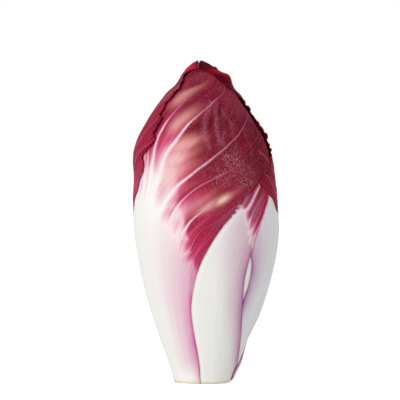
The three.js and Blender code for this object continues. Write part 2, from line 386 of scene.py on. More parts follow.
    def grid(self):
        """Even steps over the leaf: the height of each row, and each point's turn and height."""
        start, end = length_at(self.start), length_at(self.tip)
        heights = height_at(np.linspace(start, end, int((end - start) / self.fineness) + 1))
        lefts, rights = self.margin(-1, heights), self.margin(1, heights)
        widest = (np.radians(rights - lefts) * head_radius(heights)).max()
        columns = int(widest / self.fineness) + 1
        turn = lefts[:, None] + (rights - lefts)[:, None] * np.linspace(0, 1, columns)
        return heights, turn.ravel(), np.repeat(heights, columns)

    def to_edges(self, flat, heights):
        """How far each point is from the left margin, the right margin and the tip."""
        margins = [self.margin(side, heights) for side in (-1, 1)]
        edges = [place(margin, heights, 0) for margin in margins]
        tip_turns = np.linspace(margins[0][-1], margins[1][-1], 20)
        edges.append(place(tip_turns, np.full(20, heights[-1]), 0))
        return [nearest(flat, edge) for edge in edges]

    def raised(self, turn, height, to_edges):
        """How far the margins and the bulges stand off the leaf under them."""
        along = length_at(height)
        out = curve_through(self.lift)(height) * np.exp(-to_edges[1] / LIFT_REACH)
        jagged = 1 + self.left_lift_jag * wander(along, TOOTH_PITCH, self.seed + 9)
        out += jagged * curve_through(self.left_lift)(height) * np.exp(-to_edges[0] / self.left_lift_reach)
        out *= 1 + LIFT_UNEVENNESS * wander(along, 5, self.seed + 7)
        for *where, how_far in self.bulges:
            out += how_far * spot(turn, height, *where)
        return out

    def strands(self, turn, height, columns):
        """Each point's strand, how many strands there are to a millimetre there, and its vein's width."""
        strand, vein_width = self.fan(turn, height)
        values = (strand, turn, length_at(height), head_radius(height))
        strands, turns, lengths, radii = (value.reshape(-1, columns) for value in values)
        step_across = np.maximum(np.radians(np.gradient(turns, axis=1)) * radii, 0.001)
        slope_across = np.gradient(strands, axis=1) / step_across
        drift = np.radians(np.gradient(turns, axis=0)) * radii
        slope_along = (np.gradient(strands, axis=0) - slope_across * drift) / np.gradient(lengths, axis=0)
        spread = np.clip(blurred(np.hypot(slope_across, slope_along)).ravel(), 0.02, 2)
        return strand, spread, vein_width

    def how_red(self, turn, height, strand):
        """How red the blade is: a haze, then the red, then its deepest, each from its own height up."""
        at, *levels = np.array(self.redness, float).T
        begins, fills, deepest = (np.interp(turn, at, level) for level in levels)
        further = np.clip((height - fills) / (deepest - fills), 0, 1) ** 1.3
        hazy, runs = self.haze
        blade = hazy * ease(begins - runs, begins + 3, height)
        blade += (FIRST_RED - hazy) * ease(begins, fills, height) + (1 - FIRST_RED) * further
        for *where, red in self.lobes:
            blade = np.maximum(blade, red * between_veins(strand, height, *where, 2))
        return blade

    def marks(self, turn, height, strand, to_edges):
        """The markings that lie over the white and the red, each between 0 and 1, with painted shade and
        painted highlights among them.
        """
        found = {name: np.zeros(len(turn)) for name in ("cream", "pale", "blister_and_glint", "red_and_highlight", "dark_edge_and_shade", "painted_blue_shade")}

        def mark(name, strength, seen):
            found[name] = np.maximum(found[name], strength * seen)

        for shape, across, patches in ((spot, turn, self.patches), (between_veins, strand, self.bays)):
            for *where, pale, cream in patches:
                mark("cream", cream, shape(across, height, *where))
                mark("pale", pale, shape(across, height, *where))
        for name, spots in (("red_and_highlight", self.red_and_highlight_spots), ("painted_blue_shade", self.painted_blue_shades)):
            for *where, strength in spots:
                mark(name, strength, spot(turn, height, *where))
        # Shining spots, where the blisters get painted glints and painted shade.
        for at_turn, at_height, size, much in self.blister_and_glint_spots:
            mark("blister_and_glint", much, spot(turn, height, at_turn, at_height, size, size))

        reach = np.interp(height, *zip(*self.dark_edge_and_shade_reach))
        # The bright red rims are partly painted highlights where an edge catches the light.
        rim_from, rim_to = self.red_and_highlight_rim_reaches
        broken_rim_highlight = ease(-0.5, 0.4, wander(length_at(height), 2.2, self.seed + 60))
        broken_rim_highlight *= ease(rim_from - RED_AND_HIGHLIGHT_RIM_FADE, rim_from + RED_AND_HIGHLIGHT_RIM_FADE, height)
        broken_rim_highlight *= 1 - ease(rim_to - RED_AND_HIGHLIGHT_RIM_FADE, rim_to, height)
        high_up = ease(DARK_EDGE_AND_SHADED_FROM, DARK_EDGE_AND_SHADED_FULLY_FROM, height)
        # Each edge darkens high up, partly in its own dark red and partly with painted shade.
        for away, dark, bright in zip(to_edges, self.dark_edge_and_shade, self.red_and_highlight_rim):
            mark("dark_edge_and_shade", dark, np.exp(-((away / reach) ** 2)) * high_up)
            mark("red_and_highlight", bright, np.exp(-((away / RED_AND_HIGHLIGHT_RIM_HALF_WIDTH) ** 2)) * broken_rim_highlight)
        return found

    def blushes(self, height, to_edges):
        """How far the margins' blush reaches in, and how far the coloured line on a margin is."""
        reach = np.interp(height, *zip(*self.blush_reach))
        tinge = np.zeros(len(height))
        to_line = np.full(len(height), 99.0)
        for away, weight in zip(to_edges, self.blush):
            near = SOFT_BLUSH * np.exp(-((away / reach) ** 2))
            near += CRISP_BLUSH * np.exp(-away / CRISP_BLUSH_REACH)
            tinge = np.maximum(tinge, weight * near)
            to_line = np.minimum(to_line, away + 20 * (1 - weight))
        return tinge, to_line

    def folds(self, flat):
        """Ridges above 0 and furrows below, where the blade is creased."""
        crease = np.zeros(len(flat))
        for strength, half_width, points in self.creases:
            fold = strength * np.exp(-((nearest(flat, path_on_head(points)) / half_width) ** 2))
            crease = np.where(np.abs(fold) > np.abs(crease), fold, crease)
        return crease

    def take_room(self, resting):
        """Moves the field in to behind this leaf."""
        heights, turns = field_heights[:, None], field_turns[None, :]
        left, right = self.margin(-1, heights), self.margin(1, heights)
        turns = left + (turns - left + 3) % 360 - 3
        allowance = np.degrees(0.4 / np.maximum(head_radius(heights), NARROWEST))
        inside = (turns >= left - allowance) & (turns <= right + allowance)
        inside &= (heights >= self.start - 1) & (heights <= self.tip + 0.1)
        reach = np.radians(np.minimum(turns - left, right - turns)) * head_radius(heights)
        depth = resting + self.thickness(turns, heights, reach) + LEAF_GAP
        taken[:] = np.where(inside, np.maximum(taken, depth), taken)


def path_on_head(points):
    """A smooth path on the outer form through (turn, height) points."""
    points = np.array(points, float)
    at = np.linspace(0, 1, len(points))
    t = np.linspace(0, 1, PATH_POINTS)
    turn, height = (curve_through(np.stack([at, points[:, i]], 1))(t) for i in range(2))
    return place(turn, height, 0)


def spot(turn, height, at_turn, at_height, long_, short, tilt=0):
    """A soft spot on the head, 1 at its middle, long_ and short its half sizes."""
    side = np.radians(turn - at_turn) * head_radius(height)
    up = length_at(height) - length_at(at_height)
    angle = np.radians(tilt)
    one = side * np.cos(angle) + up * np.sin(angle)
    two = up * np.cos(angle) - side * np.sin(angle)
    return np.exp(-((one / long_) ** 2) - (two / short) ** 2)


def between_veins(strand, height, at_strand, at_height, half_strand, half_height, fullness=PATCH_FULLNESS):
    """A soft spot that keeps between two veins, and bends with them."""
    across = np.abs((strand - at_strand) / half_strand) ** PATCH_FULLNESS
    return np.exp(-across - np.abs((height - at_height) / half_height) ** fullness)


def blurred(grid):
    wide = np.pad(grid, 1, mode="edge")
    rows, columns = grid.shape
    return np.mean([wide[i : i + rows, j : j + columns] for i in range(3) for j in range(3)], axis=0)


def lay_leaf(leaf):
    """Lays the leaf on the head inside the leaves laid before it, and takes the room that it needs."""
    resting = draped(taken)
    heights, turn, height = leaf.grid()
    rows, columns = len(heights), len(turn) // len(heights)
    flat = place(turn, height, 0)
    to_edges = leaf.to_edges(flat, heights)

    outer = read_field(resting, turn, height)
    thickness = leaf.thickness(turn, height, np.min(to_edges, axis=0))
    thickness = np.maximum(np.minimum(thickness, depth_limit(height) - outer), LEAST_THICKNESS)
    depth = outer - leaf.raised(turn, height, to_edges) * (1 - ease(0.02, 0.4, outer))
    face = place(turn, height, depth)
    back = place(turn, height, depth + thickness)
    ray = flat - place(turn, height, 1)
    exposed = 1 - ease(0.05, 0.6, outer)

    strand, spread, vein_width = leaf.strands(turn, height, columns)
    off_vein = (strand - np.round(strand)) / (spread * np.maximum(vein_width, NARROWEST_RAISED_VEIN))
    tinge, to_line = leaf.blushes(height, to_edges)
    vectors = {
        "lay": np.stack([strand, length_at(height), np.full(len(turn), leaf.seed * 7.3)], 1),
        "line": np.stack([spread, vein_width, np.zeros(len(turn))], 1),
        "inward": (back - face) * MM,
        "outward": ray * exposed[:, None] * MM,
    }
    values = {
        "blade": leaf.how_red(turn, height, strand),
        "vein": np.minimum(1, vein_width) * np.exp(-(off_vein**2)),
        "crease": leaf.folds(flat),
        "tinge": tinge,
        "edge": to_line,
        **leaf.marks(turn, height, strand, to_edges),
    }

    cells = np.arange(rows * columns).reshape(rows, columns)
    corners = [cells[:-1, :-1], cells[1:, :-1], cells[1:, 1:], cells[:-1, 1:]]
    faces = np.stack([c.ravel() for c in corners], 1)
    mesh = bpy.data.meshes.new(leaf.name)
    mesh.from_pydata((face * MM).tolist(), [], faces.tolist())
    for kind, field, stored_here in (("FLOAT_VECTOR", "vector", vectors), ("FLOAT", "value", values)):
        for name, value in stored_here.items():
            made = mesh.attributes.new(name, kind, "POINT")
            made.data.foreach_set(field, value.astype(np.float32).ravel())
    leaf.take_room(resting)
    return mesh


def feed(made, inputs):
    """Fills the inputs of a node with values, or links them to sockets."""
    for key, value in inputs.items():
        if isinstance(value, bpy.types.NodeSocket):
            made.id_data.links.new(value, made.inputs[key])
        else:
            made.inputs[key].default_value = value


def node(tree, kind, inputs=None, **settings):
    made = tree.nodes.new(kind)
    for key, value in settings.items():
        setattr(made, key, value)
    feed(made, inputs or {})
    return made


def tree_of(*values):
    """The tree that the sockets among these values belong to."""
    return next(value.id_data for value in values if isinstance(value, bpy.types.NodeSocket))


def maths(operation, *values, **settings):
    inputs = dict(enumerate(values))
    return node(tree_of(*values), "ShaderNodeMath", inputs, operation=operation, **settings).outputs[0]


def plus(one, other):
    return maths("ADD", one, other)


def minus(one, other):
    return maths("SUBTRACT", one, other)


def over(one, other):
    return maths("DIVIDE", one, other)


def times(first, *others):
    for other in others:
        first = maths("MULTIPLY", first, other)
    return first


def scaled(vector, by):
    inputs = {0: vector, "Scale": by}
    return node(tree_of(vector), "ShaderNodeVectorMath", inputs, operation="SCALE").outputs[0]


def parts_of(vector):
    return node(tree_of(vector), "ShaderNodeSeparateXYZ", {0: vector}).outputs


def link(socket, to):
    tree_of(socket).links.new(socket, to)


# The leaf's relief: raised veins, a blade that puckers between them, and faint ridges along the rib.
# The same tree gives the sheet its thickness and closes it all round.
relief = bpy.data.node_groups.new("leaf relief", "GeometryNodeTree")
relief.interface.new_socket("Sheet", in_out="INPUT", socket_type="NodeSocketGeometry")
for label, value in (
    ("Vein Height", 0.3 * MM),
    ("Pucker Height", 0.5 * MM),
    ("Pucker Size", 5 * MM),
    ("Ridge Height", 0.012 * MM),
    ("Ridge Spacing", 0.45),
    ("Crease Height", 0.2 * MM),
):
    relief.interface.new_socket(label, in_out="INPUT", socket_type="NodeSocketFloat").default_value = value
relief.interface.new_socket("Tissue", in_out="INPUT", socket_type="NodeSocketMaterial")
relief.interface.new_socket("Leaf", in_out="OUTPUT", socket_type="NodeSocketGeometry")
given = node(relief, "NodeGroupInput").outputs


def stored(name, kind="FLOAT"):
    return node(relief, "GeometryNodeInputNamedAttribute", {0: name}, data_type=kind).outputs[0]


inward = stored("inward", "FLOAT_VECTOR")
walls = {"Mesh": given["Sheet"], "Offset": inward, "Offset Scale": 1, "Individual": False}
walls = node(relief, "GeometryNodeExtrudeMesh", walls, mode="FACES").outputs
unraised = node(
    relief,
    "GeometryNodeStoreNamedAttribute",
    {"Geometry": walls["Mesh"], "Selection": walls["Top"], "Name": "outward"},
    data_type="FLOAT_VECTOR",
    domain="POINT",
)
face_out = node(relief, "GeometryNodeFlipFaces", {"Mesh": given["Sheet"]})
joined = node(relief, "GeometryNodeJoinGeometry")
link(unraised.outputs[0], joined.inputs[0])
link(face_out.outputs[0], joined.inputs[0])
closed = node(relief, "GeometryNodeMergeByDistance", {"Geometry": joined.outputs[0], "Distance": 0.001 * MM})
pucker_noise = {"Scale": over(1, given["Pucker Size"]), "Detail": 1.5}
pucker = node(relief, "ShaderNodeTexNoise", pucker_noise).outputs[0]
puckered = times(minus(pucker, 0.5), given["Pucker Height"], stored("blade"))
across = parts_of(stored("lay", "FLOAT_VECTOR"))[0]
wave = maths("SINE", times(over(across, given["Ridge Spacing"]), 2 * np.pi))
ridged = times(wave, given["Ridge Height"], minus(1, stored("blade")))
veined = times(stored("vein"), given["Vein Height"], stored("blade"))
creased = times(stored("crease"), given["Crease Height"])
total = plus(plus(puckered, ridged), plus(veined, creased))
out_by = scaled(stored("outward", "FLOAT_VECTOR"), over(total, MM))
shaped = node(relief, "GeometryNodeSetPosition", {"Geometry": closed.outputs[0], "Offset": out_by})
smooth = node(relief, "GeometryNodeSetShadeSmooth", {"Geometry": shaped.outputs[0]})
real = node(relief, "GeometryNodeRealizeInstances", {0: smooth.outputs[0]})
dressed = node(relief, "GeometryNodeSetMaterial", {"Geometry": real.outputs[0], "Material": given["Tissue"]})
link(dressed.outputs[0], node(relief, "NodeGroupOutput").inputs[0])


def in_scene(name, data):
    made = bpy.data.objects.new(name, data)
    bpy.context.scene.collection.objects.link(made)
    return made


def grown(mesh, material):
    """Runs the relief tree on a laid sheet and returns the finished leaf as a plain mesh."""
    raw = in_scene(mesh.name + "_sheet", mesh)
    modifier = raw.modifiers.new("relief", "NODES")
    modifier.node_group = relief
    sockets = {item.name: item.identifier for item in relief.interface.items_tree if item.in_out == "INPUT"}
    modifier[sockets["Tissue"]] = material
    bpy.context.view_layer.update()
    evaluated = raw.evaluated_get(bpy.context.evaluated_depsgraph_get())
    finished = bpy.data.meshes.new_from_object(evaluated)
    bpy.data.objects.remove(raw)
    bpy.data.meshes.remove(mesh)
    for name in ("inward", "outward"):
        finished.attributes.remove(finished.attributes[name])
    return finished


def finish_leaf(leaf, material, node_name):
    mesh = grown(lay_leaf(leaf), material)
    piece = in_scene(leaf.name, mesh)
    mesh.name = leaf.name
    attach(piece, "root")
    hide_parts(node_name)


# ==================== the tissue of a leaf ====================
# The rib is white and juicy with a faint fibre. Red sap colour fills the blade from the margins in,
# runs down between the veins in feathery fingers, and leaves the veins white and the edge magenta.


def paint(red, green, blue):
    """A colour as it is read off a colour card, 0 to 255, for a shader socket."""
    card = np.array([red, green, blue]) / 255
    linear = np.where(card <= 0.04045, card / 12.92, ((card + 0.055) / 1.055) ** 2.4)
    return (*linear.tolist(), 1)


STREAK_LENGTH = 26
THREAD_WIDTH, THREAD_LENGTH = 0.07, 12
BAND_WIDTH, BAND_LENGTH = 0.5, 90
SPECKS, CLUMPS, CLOUDS, MISTS = 1300, 260, 90, 48  # how many of each pattern go in a metre
FIBRE_GREY = paint(222, 222, 220)
SAP_STEPS = (
    (0, (250, 240, 242)),
    (0.12, (248, 226, 231)),
    (0.26, (243, 196, 208)),
    (0.4, (231, 138, 168)),
    (0.55, (210, 78, 118)),
    (0.7, (186, 42, 82)),
    (0.85, (160, 30, 60)),
    (1, (130, 22, 44)),
)
SAP_SHADE = paint(206, 150, 170)
MISTY_RED = paint(158, 72, 96)
LIGHT_THREAD = paint(178, 66, 98)
DARK_THREAD = paint(92, 8, 26)
LIGHT_SPECK = paint(196, 96, 116)
DARK_SPECK = paint(84, 6, 22)
VEINLET = paint(206, 112, 146)
THIN_VEIN = paint(206, 138, 178)
# Crease colours: a painted highlight on the ridges and a painted shade in the furrows.
RIDGE_HIGHLIGHT = paint(196, 116, 146)
FURROW_SHADE = paint(74, 6, 22)
LOW_MAGENTA = paint(208, 84, 148)
VEIN_VEIL = paint(226, 208, 220)
PEACH = paint(234, 188, 168)
BUTTER = paint(242, 216, 178)
# A painted grey-blue shade.
PAINTED_BLUE_SHADE = paint(160, 150, 178)
# Dark edges high up: partly the edges' own dark red, partly painted shade beside the leaf lying over them.
DARK_EDGE_AND_SHADE = paint(82, 2, 14)
# Bright red: partly the leaf's own red, partly a painted highlight on curled tips and rims that catch the
# light.
RED_AND_HIGHLIGHT = paint(208, 24, 62)
# Painted shade over shining blistered red, painted shade in the gaps between blisters, and a painted
# highlight on their tops.
SHADED_BLISTER_RED = paint(112, 26, 48)
BLISTER_GAP_SHADE = paint(74, 6, 26)
BLISTER_GLINT = paint(220, 156, 156)
DRY_CUT = paint(224, 206, 174)


def new_group(name, inputs, outputs):
    tree = bpy.data.node_groups.new(name, "ShaderNodeTree")
    for label, kind in inputs:
        tree.interface.new_socket(label, in_out="INPUT", socket_type="NodeSocket" + kind)
    for label, kind in outputs:
        tree.interface.new_socket(label, in_out="OUTPUT", socket_type="NodeSocket" + kind)
    return tree, node(tree, "NodeGroupInput").outputs, node(tree, "NodeGroupOutput").inputs


def new_material(name):
    material = bpy.data.materials.new(name)
    material.use_nodes = True
    return material, material.node_tree


def mixed(share, one, other, blend="MIX"):
    tree = tree_of(share, one, other)
    inputs = {0: share, 6: one, 7: other}
    return node(tree, "ShaderNodeMix", inputs, data_type="RGBA", blend_type=blend).outputs[2]


def coated(colour, *coats):
    """A colour under coats of others, each coat a share and its colour."""
    for share, coat in coats:
        colour = mixed(share, colour, coat)
    return colour


def remapped(value, low, high, to_low=0, to_high=1):
    inputs = {0: value, 1: low, 2: high, 3: to_low, 4: to_high}
    return node(tree_of(value), "ShaderNodeMapRange", inputs, interpolation_type="SMOOTHSTEP").outputs[0]


def noise(vector, scale, detail, roughness=0.5):
    inputs = {"Vector": vector, "Scale": scale, "Detail": detail, "Roughness": roughness}
    return node(tree_of(vector), "ShaderNodeTexNoise", inputs).outputs[0]


def bell(value):
    return maths("EXPONENT", times(value, value, -1))


# Fibre: a soft streak, long along the strands of a leaf and narrow across them.
fibre, given, gives = new_group(
    "fibre", [("Lay", "Vector"), ("Width", "Float"), ("Length", "Float")], [("Streak", "Float")]
)
parts = parts_of(given["Lay"])
stretched = {0: over(parts[0], given["Width"]), 1: over(parts[1], given["Length"]), 2: parts[2]}
stretched = node(fibre, "ShaderNodeCombineXYZ", stretched).outputs[0]
link(noise(stretched, 1, 2.5), gives["Streak"])

# Vein: a clean line on every whole strand, as wide as the leaf says there, and finer lines between.
VEIN_SHARPNESS = 0.82
strands, given, gives = new_group(
    "veins",
    [("Lay", "Vector"), ("Line", "Vector"), ("Finer", "Float"), ("Finer Width", "Float")],
    [("Vein", "Float")],
)
spread, vein_width, _ = parts_of(given["Line"])
finer = times(parts_of(given["Lay"])[0], given["Finer"])
off = over(minus(finer, maths("ROUND", finer)), given["Finer"])
is_finer = maths("GREATER_THAN", given["Finer"], 1.5)
widths = {0: is_finer, 2: maths("MAXIMUM", vein_width, 0.001), 3: given["Finer Width"]}
chosen = node(strands, "ShaderNodeMix", widths, data_type="FLOAT").outputs[0]
link(bell(over(off, times(spread, times(chosen, VEIN_SHARPNESS)))), gives["Vein"])

# Sap colour: how red the blade is, feathered along the fibre, and the colour that gives.
sap, given, gives = new_group(
    "sap colour",
    [(label, "Float") for label in ("Blade", "Vein", "Pale", "Streak", "Feather", "Shade")],
    [("Colour", "Color"), ("Amount", "Float")],
)
blade = given["Blade"]
middle_tone = times(blade, 4, minus(1, blade))
swing = times(minus(given["Streak"], 0.5), given["Feather"], plus(middle_tone, 0.12))
fed = maths("MINIMUM", times(blade, 25), 1)
feathered = maths("ADD", blade, times(swing, fed), use_clamp=True)
amount = times(feathered, minus(1, given["Vein"]), minus(1, given["Pale"]))
ramp = node(sap, "ShaderNodeValToRGB", {0: amount})
for step, (at, colour) in enumerate(SAP_STEPS):
    stop = ramp.color_ramp.elements[step] if step < 2 else ramp.color_ramp.elements.new(at)
    stop.position = at
    stop.color = paint(*colour)
deep = mixed(1, ramp.outputs[0], SAP_SHADE, "MULTIPLY")
link(mixed(times(given["Shade"], amount), ramp.outputs[0], deep), gives["Colour"])
link(remapped(amount, 0.0, 0.14), gives["Amount"])

# Blister: the fine puckered cells of a blade, as a height, and the painted highlights on their tops and the
# painted shade in the gaps between them.
blister, given, gives = new_group(
    "blister",
    [("Position", "Vector"), ("Cell Size", "Float"), ("Cover", "Float")],
    [("Height", "Float"), ("Glint", "Float"), ("Gap Shade", "Float")],
)
cell_place = scaled(given["Position"], over(1, given["Cell Size"]))
cells = {"Vector": cell_place, "Scale": 1, "Smoothness": 0.6}
cells = node(blister, "ShaderNodeTexVoronoi", cells, feature="SMOOTH_F1").outputs[0]
upright = {0: cell_place, 1: (1, 1, 0.7)}
upright = node(blister, "ShaderNodeVectorMath", upright, operation="MULTIPLY").outputs[0]
tops = noise(upright, 1, 3, 0.75)
link(times(minus(1, cells), given["Cover"]), gives["Height"])
link(times(remapped(tops, 0.48, 0.62), given["Cover"]), gives["Glint"])
link(times(remapped(tops, 0.34, 0.48, 1, 0), given["Cover"]), gives["Gap Shade"])


def use(tree, group, **inputs):
    named = {label.replace("_", " "): value for label, value in inputs.items()}
    return node(tree, "ShaderNodeGroup", named, node_tree=group).outputs


def attribute(tree, name, output="Fac"):
    return node(tree, "ShaderNodeAttribute", attribute_name=name).outputs[output]


def leaf_tissue(
    name,
    line=(206, 76, 150),
    blush=(224, 162, 192),
    white=(247, 246, 244),
    cream=(244, 244, 236),
    lining=1.0,
    feather=1.1,
    streak_width=0.17,
):
    """White flesh with coloured margins, under a red blade with pale veins, blisters and markings, with
    painted highlights and painted shade among them.
    """
    material, tree = new_material(name)
    position = node(tree, "ShaderNodeTexCoord").outputs["Object"]
    height = parts_of(position)[2]
    lay = attribute(tree, "lay", "Vector")
    lines = attribute(tree, "line", "Vector")
    vein_width = parts_of(lines)[1]
    blade = attribute(tree, "blade")
    edge = attribute(tree, "edge")
    blister_and_glint = attribute(tree, "blister_and_glint")
    butter = attribute(tree, "cream")
    streak = use(tree, fibre, Lay=lay, Width=streak_width, Length=STREAK_LENGTH)["Streak"]
    thread = use(tree, fibre, Lay=lay, Width=THREAD_WIDTH, Length=THREAD_LENGTH)["Streak"]
    band = use(tree, fibre, Lay=lay, Width=BAND_WIDTH, Length=BAND_LENGTH)["Streak"]
    speckle = noise(position, SPECKS, 2)
    clumps = noise(position, CLUMPS, 2)
    cloud = noise(position, CLOUDS, 3)
    mist = noise(position, MISTS, 2)

    # White flesh, its blush towards the margin and the coloured line along the margin.
    tinge = times(attribute(tree, "tinge"), remapped(streak, 0.2, 0.75, 0.84, 1.08))
    tinge = maths("MULTIPLY", tinge, remapped(height, 0.0005, 0.012), use_clamp=True)
    soft_rim = times(bell(over(edge, 1.9)), 0.55)
    crisp_rim = times(bell(over(edge, 0.55)), 0.6)
    rim = times(plus(soft_rim, crisp_rim), lining, remapped(cloud, 0.3, 0.6, 0.6, 1))
    tissue = coated(
        paint(*white),
        (remapped(band, 0.35, 0.65), paint(*cream)),
        (remapped(thread, 0.45, 0.75, 0, 0.06), FIBRE_GREY),
        (tinge, paint(*blush)),
        (rim, paint(*line)),
    )

    # The red of the blade, with a bloom, threads and specks in it. Its stout veins stay white, and its
    # thin ones are lilac lines.
    own = use(tree, strands, Lay=lay, Line=lines, Finer=1.0, Finer_Width=0.2)["Vein"]
    own = times(own, remapped(speckle, 0.3, 0.55, 0.78, 1))
    stout = remapped(vein_width, 0.12, 0.6)
    white_vein = times(own, stout, 0.9)
    pale = times(attribute(tree, "pale"), remapped(streak, 0.25, 0.7, 0.7, 1.12))
    shade = remapped(cloud, 0.35, 0.68)
    red = use(tree, sap, Blade=blade, Vein=white_vein, Pale=pale, Streak=streak, Feather=feather, Shade=shade)
    bloomed = coated(
        red["Colour"],
        (remapped(mist, 0.46, 0.68, 0, 0.34), MISTY_RED),
        (remapped(thread, 0.5, 0.8, 0, 0.36), LIGHT_THREAD),
        (remapped(thread, 0.2, 0.45, 0.5, 0), DARK_THREAD),
        (remapped(speckle, 0.52, 0.72, 0, 0.28), LIGHT_SPECK),
        (remapped(speckle, 0.3, 0.48, 0.3, 0), DARK_SPECK),
    )
    colour = mixed(remapped(blade, 0.45, 0.85), red["Colour"], bloomed)
    for finer, half_width, share in ((2, 0.14, 0.22), (4, 0.11, 0.14), (9, 0.1, 0.1)):
        small = use(tree, strands, Lay=lay, Line=lines, Finer=finer, Finer_Width=half_width)["Vein"]
        colour = mixed(times(small, remapped(cloud, 0.42, 0.62, 0, share)), colour, VEINLET)
    thin_vein = times(own, minus(1, stout), remapped(vein_width, 0, 0.3, 0, 0.82))
    # Creases: a painted highlight along the ridges and a painted shade in the furrows, over their relief.
    crease = times(attribute(tree, "crease"), remapped(speckle, 0.38, 0.56, 0.35, 1))
    colour = coated(
        colour,
        (thin_vein, THIN_VEIN),
        (crease, RIDGE_HIGHLIGHT),
        (times(crease, -1), FURROW_SHADE),
        (remapped(height, 0.042, 0.06, 0.6, 0), LOW_MAGENTA),
    )

    # The red over the white, and the markings over both: patches, a painted grey-blue shade, dark edges that
    # are partly painted shade, and bright red that is partly painted highlights.
    patch = times(butter, remapped(streak, 0.2, 0.65, 0.5, 1.05), minus(1, times(own, 0.8)))
    # Dark edges high up: partly their own dark red, partly painted shade.
    dark_edge_and_shade = times(attribute(tree, "dark_edge_and_shade"), remapped(cloud, 0.3, 0.6, 0.75, 1.1))
    marked = coated(
        mixed(red["Amount"], tissue, colour),
        (times(white_vein, remapped(blade, 0.15, 0.6, 0, 0.6)), VEIN_VEIL),
        (patch, mixed(remapped(butter, 0.6, 1), PEACH, BUTTER)),
        # Painted grey-blue shade.
        (attribute(tree, "painted_blue_shade"), PAINTED_BLUE_SHADE),
        (dark_edge_and_shade, DARK_EDGE_AND_SHADE),
        (attribute(tree, "red_and_highlight"), RED_AND_HIGHLIGHT),
    )

    # Blistered cells on the red, most of all where it shines, with painted shade over the shining red and
    # between the cells and painted highlights on their tops, and the dried cut.
    cover = times(blade, maths("MAXIMUM", blister_and_glint, remapped(cloud, 0.4, 0.6, 0.2, 0.5)))
    blisters = use(tree, blister, Position=position, Cell_Size=0.5 * MM, Cover=cover)
    glint_and_shade = times(blister_and_glint, remapped(clumps, 0.36, 0.6, 0.45, 1))
    ragged_height = plus(height, times(minus(cloud, 0.5), 0.003))
    finished = coated(
        marked,
        (times(glint_and_shade, 0.3), SHADED_BLISTER_RED),
        (times(blisters["Gap Shade"], remapped(glint_and_shade, 0.1, 0.8, 0.05, 0.55)), BLISTER_GAP_SHADE),
        (times(blisters["Glint"], remapped(glint_and_shade, 0.1, 0.8, 0.03, 0.62)), BLISTER_GLINT),
        (remapped(ragged_height, 0, 0.0016, 0.75, 0), DRY_CUT),
    )
    grain = plus(blisters["Height"], times(thread, 0.3))
    bump = node(tree, "ShaderNodeBump", {"Height": grain, "Strength": 0.7, "Distance": 0.2 * MM})
    surface = {
        "Base Color": finished,
        "Normal": bump.outputs[0],
        "Roughness": remapped(streak, 0.3, 0.7, 0.44, 0.56),
        "IOR": 1.2,
        "Specular IOR Level": 0.05,
        "Subsurface Weight": 0.08,
        "Subsurface Radius": (1, 0.5, 0.4),
        "Subsurface Scale": 1.2 * MM,
    }
    feed(tree.nodes["Principled BSDF"], surface)
    return material


# ==================== the outer leaf at the back left ====================
# The outermost leaf. Its rib stands at the back left, and its dark blade comes round the left side
# with a thin, wavy, notched edge that stands off the leaf under it, and a curled tip.

back_left = Leaf(
    "back_left_leaf",
    rib=[(0, -140), (55, -140), (80, -133), (110, -115), (134, -104)],
    left=[
        (0, -192), (15, -184), (50, -182), (75, -195), (97, -206), (108, -200), (118, -185), (126, -170),
        (131, -165), (134, -150),
    ],
    right=[
        (0, -88), (15, -93), (55, -94), (66, -90), (72, -84), (76, -80), (80, -75), (86, -67), (91, -59),
        (94, -60.5), (98, -54.5), (101, -49.5), (105, -51.6), (110, -48.5), (115, -52), (119, -49.5),
        (122, -44), (125, -49), (127, -56), (128.5, -58), (129.6, -48), (130.6, -30), (132, -30),
        (133.2, -46), (134.2, -72),
    ],
    tip=134.8,
    seed=1,
    ragged=0.5,
    fineness=0.6,
    notches=[
        (1, 84, 1.2, 0.6), (1, 96, 1.2, 0.5), (1, 101, 0.9, 0.4), (1, 104.5, 1.1, 0.45), (1, 108, 1.0, 0.4),
        (1, 112, 0.9, 0.4), (1, 117, 1.3, 0.6), (1, 121, 1.0, 0.5),
    ],
    lift=[
        (0, 0), (86, 0), (92, 0.25), (98, 0.4), (104, 0.6), (114, 0.65), (122, 0.7), (128, 1.0), (132, 0.6),
        (134.2, 0),
    ],
    bulges=[(-92, 98, 9, 11, 0.7), (-88, 80, 6, 6, 0.3)],
    redness=[
        (-206, 56, 74, 115), (-180, 66, 92, 125), (-150, 84, 112, 134), (-120, 90, 116, 134),
        (-105, 76, 98, 134), (-95, 66, 76, 150), (-85, 60, 66, 150), (-50, 55, 60, 145),
    ],
    # Bright red on the curled tip and the edges: partly the leaf's own red, partly painted highlights.
    red_and_highlight_spots=[(-50, 131, 6, 3, 0, 0.9), (-60, 127.5, 4, 1.5, 40, 0.3), (-86, 98, 5, 1.5, 80, 0.35)],
    # Shining spots: blisters with painted glints and painted shade.
    blister_and_glint_spots=[(-76, 95, 13, 0.35), (-64, 111, 9, 0.35), (-82, 78, 6, 0.3)],
    # Its right edge darkens, partly in its own dark red and partly with painted shade where it stands off.
    dark_edge_and_shade=(0, 0.42),
    dark_edge_and_shade_reach=[(0, 1.6), (106, 1.6), (114, 0.8), (HEAD_HEIGHT, 0.8)],
    red_and_highlight_rim=(0, 0.4),
)
finish_leaf(back_left, leaf_tissue("back left leaf tissue"), "outer_leaf_back_left")

# ==================== the outer leaf at the front left ====================
# The big leaf that wraps the whole front. Its rib climbs from the lower left to the upper right, its
# side veins fan out to the right, and its right margin sweeps from the cut up across the head.

